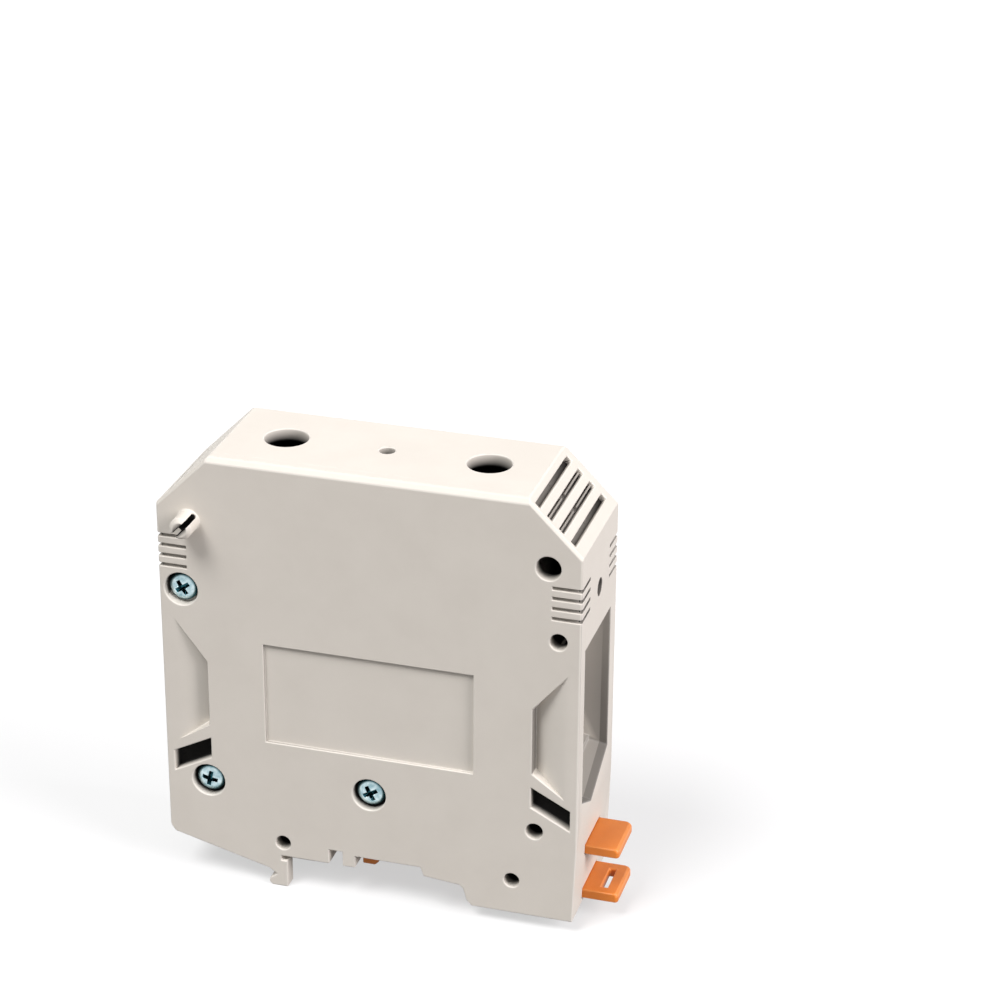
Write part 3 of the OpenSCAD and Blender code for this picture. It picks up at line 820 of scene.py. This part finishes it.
# %% Strips and ribs in the louvres
STRIP_ALONG, RIB_ALONG = (2.6 * MM, 6.4 * MM, 10.2 * MM, 14.0 * MM), (6.4 * MM, 10.2 * MM)
STRIP_BAR = {"wide": 1.9 * MM, "deep": 0.6 * MM, "sunk": 1.5 * MM}
RIB_BAR = {"wide": 0.4 * MM, "deep": 1.0 * MM, "sunk": 0.8 * MM}
STRIP_SPANS = {"front_plate": (-14.2 * MM, -0.95 * MM), "case_shell": (-0.85 * MM, 12.7 * MM)}
RIB_SPANS = {"front_plate": (-14.2 * MM, -2.0 * MM), "case_shell": (0.2 * MM, 12.7 * MM)}


def louvre_bar(side, along, size, span):
    """One bar, at a way down the slope of a shoulder and a depth below it."""
    step, sunk = along / math.sqrt(2), (size["sunk"] + size["deep"] / 2) / math.sqrt(2)
    x, z = side * (side_x - SHOULDER + step - sunk), top_z - step - sunk
    bar_size = (size["wide"], span[1] - span[0], size["deep"])
    return new_block((x, sum(span) / 2, z), bar_size, (0, side * math.pi / 4, 0))


def louvre_bars(name):
    """The strips and ribs that one moulding carries, in both shoulders."""
    strips, ribs = STRIP_SPANS[name], RIB_SPANS[name]
    bars = []
    for side in (-1, 1):
        bars += [louvre_bar(side, along, STRIP_BAR, strips) for along in STRIP_ALONG]
        bars += [louvre_bar(side, along, RIB_BAR, ribs) for along in RIB_ALONG]
    return bars


print("bars in each shoulder:", len(STRIP_ALONG), "strips,", len(RIB_ALONG), "ribs")

# %% [markdown]
# The shade in the openings of the case is painted point by point, into the recess
# attribute. It is the depth below the nearest outer face of the case, as a share of
# the depth at which the painted shade is full. The kinds of openings differ in this
# depth: the grip grooves at the ends and the small hole in the top are dark early,
# the wide holes in the top and the slanted pockets late, and the louvres never
# quite. An Ambient Occlusion node could find such places too, but a shade that is
# painted by place can treat each kind of opening in its own way.

# %% Depths of the openings
HOLE_DEPTHS = (0.3 * MM, 1.5 * MM)
TOP_HOLE_DEPTHS, TOP_VENT_DEPTHS, TOP_VENT_X = (1.3 * MM, 2.5 * MM), (0.0, 1.3 * MM), 5.0 * MM
GROOVE_DEPTHS, END_GROOVE_DEPTHS = (0.3 * MM, 1.9 * MM), (0.05 * MM, 0.28 * MM)
SLOT_DEPTHS, SLOT_TALL, SLOT_Y = (0.3 * MM, 2.5 * MM), 6.4 * MM, 12.4 * MM
SLOT_X, SLOT_Z, SLOT_FALL = 38.2 * MM, 29.0 * MM, 0.55
LOUVRE_DEPTHS, LOUVRE_SHARE = (0.3 * MM, 1.0 * MM), 0.78
CHAMBER_X, CHAMBER_Z, CHAMBER_Y = 35.8 * MM, 70.4 * MM, (-13.6 * MM, 12.05 * MM)
SOCKET_REACH = 4.0 * MM
END_X, END_HIGH = 35.5 * MM, 64.0 * MM


def share_between(value, span):
    low, high = span
    return min(1.0, max(0.0, (value - low) / (high - low)))


print("holes are dark from", HOLE_DEPTHS[1] / MM, "mm down")

# %% [markdown]
# Some places don't follow their depth. Of the rating field only the narrow walls
# get a painted shadow. In a cable mouth the lip and the floor get a little painted
# shade. The open pockets stay light, apart from a painted shade on the steep wall at
# their inner end, and so does the underside, apart from its two small holes. The
# saw cut of a peg is painted dark all over.

# %% Places with a shade of their own
PLATE_WALL, PLATE_DEEP = (0.12 * MM, 0.70 * MM), 0.9 * MM
PLATE_DARK_SIDE, PLATE_DARK_TOP = -24.0 * MM, 53.5 * MM
PLATE_SHADE, PLATE_PALE_SHADE = 0.45, 0.12
LIP_SHADE, V_LIP_SHADE, FLOOR_SHADE = 0.42, 0.66, 0.45
LIP_X, LIP_BORDER, LIP_REACH = 47.5 * MM, 0.15 * MM, 1.5
FUNNEL_LOW, FUNNEL_Y = 20.0 * MM, 10.6 * MM
FLOOR_Z, FLOOR_RISE = 28.5 * MM, 0.301
DIP_X, DIP_Y, DIP_Z, DIP_RISE, DIP_FALL = 42.4 * MM, -3.7 * MM, 20.8 * MM, 0.249, 0.477
RAMP_X, RAMP_WALL, RAMP_SHADE = 38.4 * MM, 0.10 * MM, 0.62
FOOT_HIGH, FOOT_HOLE_R = 7.5 * MM, 2.2 * MM
FOOT_HOLES = ((-21.15 * MM, 3.6 * MM), (33.9 * MM, 3.6 * MM))
SLIT_HALF, PEG_ROOT = 0.6 * MM, 0.5 * MM
peg_x, peg_z = abs(mounts["peg_front"][X]), mounts["peg_front"][Z]


def plate_shade(place, depth):
    """Painted shadow on the narrow walls of the rating field, most on the upper and the left one.
    """
    if not PLATE_WALL[0] < depth < PLATE_WALL[1]:
        return 0.0
    dark = place.x < PLATE_DARK_SIDE or place.z > PLATE_DARK_TOP
    return PLATE_SHADE if dark else PLATE_PALE_SHADE


def funnel_shade(place):
    """Painted shade inside a cable mouth: most on its lip, less on its floor, none on its walls.
    """
    reach = abs(place.x)
    dip_z = DIP_Z + DIP_RISE * (side_x - reach) + DIP_FALL * abs(place.y - DIP_Y)
    floor_z = FLOOR_Z + FLOOR_RISE * (LIP_X - reach)
    if reach > LIP_X - LIP_REACH * LIP_BORDER:
        return V_LIP_SHADE if place.z < FLOOR_Z else LIP_SHADE
    on_dip = reach > DIP_X and place.z < dip_z + LIP_BORDER
    return FLOOR_SHADE if on_dip or place.z < floor_z + LIP_BORDER else 0.0


def ramp_shade(reach, face):
    """Painted shade on the steep inner wall of an open pocket, none on its slope."""
    on_wall = abs(reach - RAMP_X) < RAMP_WALL and face > RAMP_WALL
    return RAMP_SHADE if on_wall else 0.0


def at_foot(place):
    """True on the underside, apart from its two small holes."""
    holes = [math.hypot(place.x - x, place.z - z) < FOOT_HOLE_R for x, z in FOOT_HOLES]
    return place.z < FOOT_HIGH and not any(holes)


def in_saw_cut(place):
    """True on the walls of the saw cut in a peg, which runs at 45 degrees."""
    side = 1 if place.y > 0 else -1
    across = place.x - side * peg_x - (place.z - peg_z)
    in_slit = abs(across) < (SLIT_HALF + CLOSE) * math.sqrt(2)
    return abs(place.y) > rear_y + PEG_ROOT and in_slit


print("pegs at", round(peg_x / MM, 1), "mm from the middle")

# %% Recess of a place
def recess_shade_at(place):
    """Painted shade of a place: 0 on the outside and in the open ends, 1 deep inside."""
    reach, rise = abs(place.x), place.z
    if abs(place.y) > rear_y:
        return float(in_saw_cut(place))
    if at_foot(place):
        return 0.0
    if reach > END_X and joint_y - CLOSE < place.y < FUNNEL_Y and FUNNEL_LOW < rise < END_HIGH:
        return funnel_shade(place) if reach < side_x - CLOSE else 0.0
    slot_top = SLOT_Z - SLOT_FALL * (reach - SLOT_X)
    face = min(place.y - front_y, rear_y - place.y)
    if reach > END_X and slot_top < rise < END_HIGH:
        return ramp_shade(reach, face)
    if reach > END_X and slot_top - SLOT_TALL < rise < slot_top and abs(place.y) > SLOT_Y:
        return share_between(face, SLOT_DEPTHS)
    top, end = top_z - rise, side_x - reach
    slope = (top + end - SHOULDER) / math.sqrt(2)
    depth = min(face, top, end, slope)
    if reach > GROOVE_IN and GROOVE_LOW < rise < GROOVE_HIGH:
        return share_between(depth, END_GROOVE_DEPTHS if depth == end else GROOVE_DEPTHS)
    if reach < PLATE_HALF and PLATE_LOW < rise < PLATE_HIGH and depth < PLATE_DEEP:
        return plate_shade(place, depth)
    if math.hypot(reach - peg_x, rise - peg_z) < SOCKET_REACH and slope > SOCKET_REACH / 2:
        return share_between(face, HOLE_DEPTHS)
    if reach > CHAMBER_X and rise > CHAMBER_Z and CHAMBER_Y[0] < place.y < CHAMBER_Y[1]:
        return LOUVRE_SHARE * share_between(slope, LOUVRE_DEPTHS) if depth == slope else 0.0
    if depth == top:
        return share_between(depth, TOP_VENT_DEPTHS if reach < TOP_VENT_X else TOP_HOLE_DEPTHS)
    return share_between(depth, HOLE_DEPTHS)


def paint_recess_shade(piece, value):
    """Write the painted shade of each point into the recess attribute."""
    sunk = piece.data.attributes.new(RECESS, "FLOAT", "POINT")
    for vertex in piece.data.vertices:
        sunk.data[vertex.index].value = value(vertex.co)


# %% [markdown]
# Both mouldings are now cast from their solids, rounded, fitted with their louvre
# bars and given their painted shade. On the shell two cuts round each cable window,
# close together, give the lip a border of its own first, so that its painted shade
# ends in a sharp line.

# %% Case shell and front plate
def border_lip(piece):
    """Cut two lines round the inside of each cable window, behind its straight lip."""
    start_edit(piece)
    for side in (-1, 1):
        for x in (LIP_X - 2 * LIP_BORDER, LIP_X - LIP_BORDER):
            pick(piece, "FACE", lambda f: f.calc_center_median().x * side > END_X)
            bpy.ops.mesh.bisect(plane_co=(side * x, 0, 0), plane_no=(1, 0, 0))
    end_edit()


for node, name in (("housing", "case_shell"), ("front_cover", "front_plate")):
    piece = cast_from(node, name)
    if node == "housing":
        border_lip(piece)
    soften(piece, CASE_RADIUS, shares=CASE_SHARES)
    join_to(piece, louvre_bars(name))
    # painted shade in the openings, by depth and by kind of opening
    paint_recess_shade(piece, recess_shade_at)
    dress(piece, "case_plastic", "case", node)
    print(name, len(piece.data.polygons), "faces")

# %% [markdown]
# ## Rings and threads
# All screws are turned pieces. A spin would make them too, but a cylinder whose
# end face is drawn out ring by ring keeps clean rows of faces for the knurl and
# the cross. A thread is a closed ridge from the Screw modifier, which a Boolean
# then joins to the core.

# %% Turned shapes
RIDGE_ROOT, RIDGE_CREST = 0.40, 0.07
TURN_STEPS, RIDGE_END_SIDES = 28, 8


def draw_rings(rings):
    """Extrude the selected face about the Z axis through rings of a radius and a height."""
    for (r0, z0), (r1, z1) in zip(rings, rings[1:]):
        bpy.ops.mesh.extrude_region_move(TRANSFORM_OT_translate={"value": (0, 0, z1 - z0)})
        bpy.ops.transform.resize(value=(r1 / r0, r1 / r0, 1), center_override=(0, 0, 0))


def thread_ridge(root_r, crest_r, pitch, bottom, top):
    """A closed helical ridge about the Z axis, its root just inside the core."""
    half_root, half_crest = RIDGE_ROOT * pitch, RIDGE_CREST * pitch
    corners = [
        (root_r, 0, -half_root),
        (root_r, 0, half_root),
        (crest_r, 0, -half_crest),
        (crest_r, 0, half_crest),
    ]
    bpy.ops.object.select_all(action="DESELECT")
    bpy.ops.mesh.primitive_plane_add(size=pitch)
    ridge = bpy.context.object
    start_edit(ridge)
    pick_all()
    bpy.ops.mesh.delete(type="ONLY_FACE")
    end_edit()
    for vertex, corner in zip(ridge.data.vertices, corners):
        vertex.co = Vector(corner) + Vector((0, 0, bottom + half_root))
    turns = ridge.modifiers.new("turns", "SCREW")
    turns.axis = "Z"
    turns.screw_offset = pitch
    turns.iterations = int((top - bottom - 2 * half_root) / pitch)
    turns.steps = turns.render_steps = TURN_STEPS
    turns.use_merge_vertices = False
    apply_modifier(ridge, turns)
    start_edit(ridge)
    pick_all()
    bpy.ops.mesh.fill_holes(sides=RIDGE_END_SIDES)
    pick_all()
    bpy.ops.mesh.normals_make_consistent(inside=False)
    end_edit()
    return ridge


print("turned shapes ready")

# %% [markdown]
# ## Case screws
# Five like screws hold the case, three from the front and two from the rear. One
# is modelled standing up, with its head's top at the origin: a cylinder whose top
# is drawn in ring by ring to a low dome, a cross cut by two tapered wedges, a
# shank drawn out of the underside, and a thread.

# %% One case screw
ROUND_SIDES = 64
HEAD_R, HEAD_H, HEAD_SIDE = 3.45 * MM, 2.0 * MM, 0.7 * MM
DOME_STEPS, DOME_DEG = 6, 80.0
CROSS_W, CROSS_LEN, CROSS_DEEP = 1.35 * MM, 5.2 * MM, 1.7 * MM
CROSS_OVER, CROSS_TAPER, CROSS_RADIUS = 1.0 * MM, 0.4, 0.07 * MM
SHANK_R, CORE_R, TIP_R, TIP_LEN = 1.95 * MM, 1.45 * MM, 0.7 * MM, 1.2 * MM
SHANK_SHARE, CORE_SHARE, THREAD_SHARE = 0.35, 0.37, 0.40
THREAD_PITCH, THREAD_SINK, THREAD_TIP = 1.6 * MM, 0.2 * MM, 1.0 * MM


def cross_wedge(turn):
    """One bar of the cross, narrower towards its bottom."""
    centre = (0, 0, (CROSS_OVER - CROSS_DEEP) / 2)
    wedge = new_block(centre, (CROSS_LEN, CROSS_W, CROSS_DEEP + CROSS_OVER), (0, 0, turn))
    start_edit(wedge)
    pick(wedge, "FACE", facing(Z, -1))
    bpy.ops.transform.resize(value=(CROSS_TAPER, CROSS_TAPER, 1), center_override=(0, 0, 0))
    end_edit()
    return wedge


screw_lo, screw_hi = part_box("cover_screw_upper")
screw_len = screw_hi.y - screw_lo.y
case_screw = new_rod(ROUND_SIDES, HEAD_R, HEAD_SIDE, (0, 0, -HEAD_H + HEAD_SIDE / 2))
case_screw.name = "case_screw"
dome_base = -HEAD_H + HEAD_SIDE
dome = [(HEAD_R, dome_base)]
for step in range(1, DOME_STEPS + 1):
    lift = math.radians(DOME_DEG * step / DOME_STEPS)
    dome.append((HEAD_R * math.cos(lift), dome_base * (1 - math.sin(lift))))
shank = [(HEAD_R, -HEAD_H), (SHANK_R, -HEAD_H), (SHANK_R, -SHANK_SHARE * screw_len)]
shank += [(CORE_R, -CORE_SHARE * screw_len), (CORE_R, -screw_len + TIP_LEN), (TIP_R, -screw_len)]
start_edit(case_screw)
pick(case_screw, "FACE", facing(Z, 1))
draw_rings(dome)
pick(case_screw, "FACE", facing(Z, -1))
draw_rings(shank)
end_edit()
cut(case_screw, cross_wedge(0.0))
cut(case_screw, cross_wedge(math.pi / 2))
soften(case_screw, CROSS_RADIUS, segments=2)
thread_span = (-screw_len + THREAD_TIP, -THREAD_SHARE * screw_len)
ridge = thread_ridge(CORE_R - THREAD_SINK, SHANK_R, THREAD_PITCH, *thread_span)
cut(case_screw, ridge, "UNION")
print("case screw:", len(case_screw.data.polygons), "faces,", round(screw_len / MM, 1), "mm long")

# %% [markdown]
# The screw gets a painted shade in its cross and below its head, and a painted
# dark reflection round the rim of its dome, both through the recess attribute. The
# copies are then turned so that the head looks out of the case, each with its cross
# at another turn, moved to the place of their CAD node, and their place is put into
# the mesh.

# %% Five case screws
RIM_SHARE, SHADE_BELOW_DOME = 0.84, 0.06 * MM
SCREW_TURNS = {
    "cover_screw_upper": -34.0,
    "cover_screw_lower": 12.0,
    "cover_screw_middle": -28.0,
    "rear_screw_upper": 35.0,
    "rear_screw_lower": 5.0,
}


def screw_shade_at(place):
    """Painted shade: 1 in the cross, on the rim and below the head, 0 on the dome."""
    share = min(1.0, math.hypot(place.x, place.y) / HEAD_R)
    dome_z = dome_base * (1 - math.sqrt(1 - share * share))
    return float(share > RIM_SHARE or place.z < dome_z - SHADE_BELOW_DOME)


# painted shade in the cross and below the head, painted dark reflection on the rim
paint_recess_shade(case_screw, screw_shade_at)
for node, turn in SCREW_TURNS.items():
    lo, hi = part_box(node)
    front = node.startswith("cover")
    place = ((lo.x + hi.x) / 2, lo.y if front else hi.y, (lo.z + hi.z) / 2)
    tilt = math.radians(90 if front else -90)
    piece = set_copy(case_screw, "dressed_" + node, place, (tilt, math.radians(turn), 0))
    dress(piece, "zinc_screw", "case", node)
bpy.data.objects.remove(case_screw)
print("case screws:", len(SCREW_TURNS))

# %% [markdown]
# ## Latches
# The two orange slides are plain mouldings, softer at their edges than the case
# because they are pulled by hand or with a driver. The outer corners of each tab
# get a larger radius first, while their edges are still whole, and then every
# edge is rounded.

# %% Latches
TAB_RADIUS, TAB_SLOPE, TAB_SEGMENTS = 0.9 * MM, 0.6 * MM, 5
TAB_EDGE = 0.3 * MM
LATCH_RADIUS = 0.32 * MM


def round_tab(piece, node):
    """Round the two corners at the outer end of a tab, through the slope at its top."""
    lo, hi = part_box(node)
    start_edit(piece)
    found = pick(
        piece,
        "EDGE",
        lambda e: (at(e, Y, lo.y) or at(e, Y, hi.y))
        and middle(e).x > hi.x - TAB_SLOPE
        and abs(e.verts[0].co.z - e.verts[1].co.z) > TAB_EDGE,
    )
    bpy.ops.mesh.bevel(offset=TAB_RADIUS, segments=TAB_SEGMENTS, affect="EDGES")
    end_edit()
    return found


for node in ("rail_latch", "upper_latch"):
    piece = cast_from(node, "dressed_" + node)
    corners = round_tab(piece, node)
    soften(piece, LATCH_RADIUS)
    dress(piece, "latch_plastic", node, node)
    print(piece.name, "tab corners:", corners)

# %% [markdown]
# ## Clamps
# Each clamp is a loop of bent strip with a tapped block under its top. A cube gives
# cleaner bends than a copy of the solid, so the loop starts as a cube of its size,
# whose two open ends are inset by the strip's thickness and bridged. The bends of
# the strip are round, wide outside and tight inside, a hole in its top lets the
# screw through, and cross teeth on its floor bite into the conductor. The copper
# bar has the same teeth below.

# %% Loops and teeth
BEND_OUT, BEND_OUT_SEGMENTS = 2.2 * MM, 6
BEND_IN, BEND_IN_SEGMENTS = 0.7 * MM, 3
LOOP_HOLE_R = 5.3 * MM
TEETH, TOOTH_PITCH = 7, 2.0 * MM
TOOTH_W, TOOTH_LEN, TOOTH_H = 0.7 * MM, 14.0 * MM, 0.35 * MM
CREST_SHARES = (0.25, 0.96, 1.0)


def tooth_row(centre, up):
    """A row of cross teeth: one bar, its top drawn in to a crest, then copied along X."""
    tooth = new_block((0, 0, 0), (TOOTH_W, TOOTH_LEN, 2 * TOOTH_H))
    start_edit(tooth)
    pick(tooth, "FACE", facing(Z, up))
    bpy.ops.transform.resize(value=CREST_SHARES, center_override=(0, 0, 0))
    end_edit()
    row = []
    for number in range(TEETH):
        shift = Vector(((number - (TEETH - 1) / 2) * TOOTH_PITCH, 0, 0))
        row.append(set_copy(tooth, "tooth", Vector(centre) + shift))
    bpy.data.objects.remove(tooth)
    join_to(row[0], row[1:])
    return row[0]


def bent_loop(name, lo, hi, strip):
    """A square tube along X, of a given box and wall."""
    loop = new_block((lo + hi) / 2, hi - lo)
    loop.name = name
    start_edit(loop)
    pick(loop, "FACE", lambda f: abs(f.normal.x) > FACING)
    bpy.ops.mesh.inset(thickness=strip, use_individual=True)
    bpy.ops.mesh.bridge_edge_loops()
    end_edit()
    return loop


def along_x(edge):
    return abs(edge.verts[0].co.x - edge.verts[1].co.x) > MM


def round_bends(piece, ys, zs, radius, segments):
    """Round the edges along X that lie at one of the given Y values and Z values."""
    pick(
        piece,
        "EDGE",
        lambda e: along_x(e) and any(at(e, Y, y) for y in ys) and any(at(e, Z, z) for z in zs),
    )
    bpy.ops.mesh.bevel(offset=radius, segments=segments, affect="EDGES")


print("teeth in a row:", TEETH)

# %% Clamp loops, tapped blocks and washers
STRIP_RADIUS, WASHER_RADIUS = 0.22 * MM, 0.18 * MM

for side in ("left", "right"):
    node = "clamp_loop_" + side
    lo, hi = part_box(node)
    block_lo, block_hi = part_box("tapped_block_" + side)
    strip = block_lo.y - lo.y
    centre_x, centre_y = (lo.x + hi.x) / 2, (lo.y + hi.y) / 2
    piece = bent_loop("dressed_" + node, lo, hi, strip)
    start_edit(piece)
    round_bends(piece, (lo.y, hi.y), (lo.z, hi.z), BEND_OUT, BEND_OUT_SEGMENTS)
    round_bends(piece, (block_lo.y, block_hi.y), (lo.z + strip,), BEND_IN, BEND_IN_SEGMENTS)
    end_edit()
    cut(piece, new_rod(ROUND_SIDES, LOOP_HOLE_R, 4 * strip, (centre_x, centre_y, hi.z)))
    soften(piece, STRIP_RADIUS, segments=2)
    cut(piece, tooth_row((centre_x, centre_y, lo.z + strip), 1), "UNION")
    dress(piece, "zinc_strip", side + "_clamp", node)
    block = cast_from("tapped_block_" + side, "dressed_tapped_block_" + side)
    soften(block, STRIP_RADIUS, segments=2)
    dress(block, "clamp_steel", side + "_clamp", "tapped_block_" + side)
    washer = cast_from("thrust_washer_" + side, "dressed_thrust_washer_" + side)
    soften(washer, WASHER_RADIUS, segments=2)
    dress(washer, "zinc_strip", "case", "thrust_washer_" + side)
    print(side, "clamp strip", round(strip / MM, 2), "mm thick")

# %% Current bar
BAR_RADIUS = 0.4 * MM

bar = cast_from("current_bar", "dressed_current_bar")
soften(bar, BAR_RADIUS)
bar_lo, bar_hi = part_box("current_bar")
for side in ("left", "right"):
    lo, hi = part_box("clamp_screw_" + side)
    cut(bar, tooth_row(((lo.x + hi.x) / 2, (bar_lo.y + bar_hi.y) / 2, bar_lo.z), -1), "UNION")
dress(bar, "bar_copper", "case", "current_bar")
print("bar:", len(bar.data.polygons), "faces")

# %% [markdown]
# ## Clamping screws
# These are stout screws with a key socket. The head has a knurled side, made by
# drawing in every other upright edge of a cylinder, a chamfered crown, and a
# six-sided socket cut into it. The shank carries a metric thread. Sizes of the
# head are shares of the radius and the height that its CAD node has.

# %% Knurled head
KNURL_SIDES, KNURL_DEEP, KNURL_SPAN = 96, 0.965, (-0.9, -0.1)
CROWN = ((1.0, -0.1), (0.965, -0.03), (0.90, 0.0))


def knurled_head(name, radius, height):
    """A head with its top at the origin, every other upright edge drawn in."""
    low, high = [share * height for share in KNURL_SPAN]
    flute = 2 * math.pi / KNURL_SIDES
    head = new_rod(KNURL_SIDES, radius, high - low, (0, 0, (low + high) / 2))
    head.name = name
    start_edit(head)
    pick(head, "VERT", lambda v: round(math.atan2(v.co.y, v.co.x) / flute) % 2 == 0)
    bpy.ops.transform.resize(value=(KNURL_DEEP, KNURL_DEEP, 1), center_override=(0, 0, 0))
    pick(head, "FACE", facing(Z, 1))
    draw_rings([(share_r * radius, share_z * height) for share_r, share_z in CROWN])
    end_edit()
    return head


print("knurl sides:", KNURL_SIDES)

# %% Clamping screws
HEAD_FOOT, SEAT_GAP = 0.95, 0.15 * MM
NECK_LEN, RUNOUT_LEN = 2.2 * MM, 3.0 * MM
POINT_LEN, POINT_IN = 1.0 * MM, 0.9 * MM
SOCKET_SIDES, SOCKET_AF, SOCKET_DEEP = 6, 8.0 * MM, 5.0 * MM
CLAMP_PITCH, CLAMP_CORE_R, CLAMP_CREST_R = 1.5 * MM, 4.1 * MM, 4.95 * MM
CLAMP_SINK, CLAMP_THREAD_LOW, CLAMP_THREAD_HIGH = 0.3 * MM, 0.9 * MM, 2.4 * MM
CLAMP_RADIUS = 0.12 * MM

for side in ("left", "right"):
    node = "clamp_screw_" + side
    lo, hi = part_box(node)
    length, head_r = hi.z - lo.z, (hi.x - lo.x) / 2
    head_h = hi.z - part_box("thrust_washer_" + side)[1].z - SEAT_GAP
    piece = knurled_head("dressed_" + node, head_r, head_h)
    start_edit(piece)
    pick(piece, "FACE", facing(Z, -1))
    draw_rings(
        [
            (head_r, KNURL_SPAN[0] * head_h),
            (HEAD_FOOT * head_r, -head_h),
            (CLAMP_CREST_R, -head_h),
            (CLAMP_CREST_R, -head_h - NECK_LEN),
            (CLAMP_CORE_R, -head_h - RUNOUT_LEN),
            (CLAMP_CORE_R, -length + POINT_LEN),
            (CLAMP_CORE_R - POINT_IN, -length),
        ]
    )
    end_edit()
    cut(piece, new_rod(SOCKET_SIDES, SOCKET_AF / math.sqrt(3), 2 * SOCKET_DEEP, (0, 0, 0)))
    soften(piece, CLAMP_RADIUS, segments=2)
    thread_span = (-length + CLAMP_THREAD_LOW, -head_h - CLAMP_THREAD_HIGH)
    ridge = thread_ridge(CLAMP_CORE_R - CLAMP_SINK, CLAMP_CREST_R, CLAMP_PITCH, *thread_span)
    cut(piece, ridge, "UNION")
    piece.location = ((lo.x + hi.x) / 2, (lo.y + hi.y) / 2, hi.z)
    only(piece)
    bpy.ops.object.transform_apply()
    dress(piece, "clamp_steel", side + "_screw", node)
    print(piece.name, len(piece.data.polygons), "faces")

# %% [markdown]
# ## Leaf springs
# Each latch is pushed home by a bent leaf of spring steel. A plane with a Solidify
# modifier would do as well, but the solid already has the bend, so a copy of it is
# used. The leaf is thin, and its stamped edges get only a small radius.

# %% Leaf springs
LEAF_RADIUS = 0.06 * MM

for node in ("rail_latch_spring", "upper_latch_spring"):
    piece = cast_from(node, "dressed_" + node)
    soften(piece, LEAF_RADIUS, segments=2)
    dress(piece, "spring_steel", "case", node)
    print(piece.name, len(piece.data.polygons), "faces")
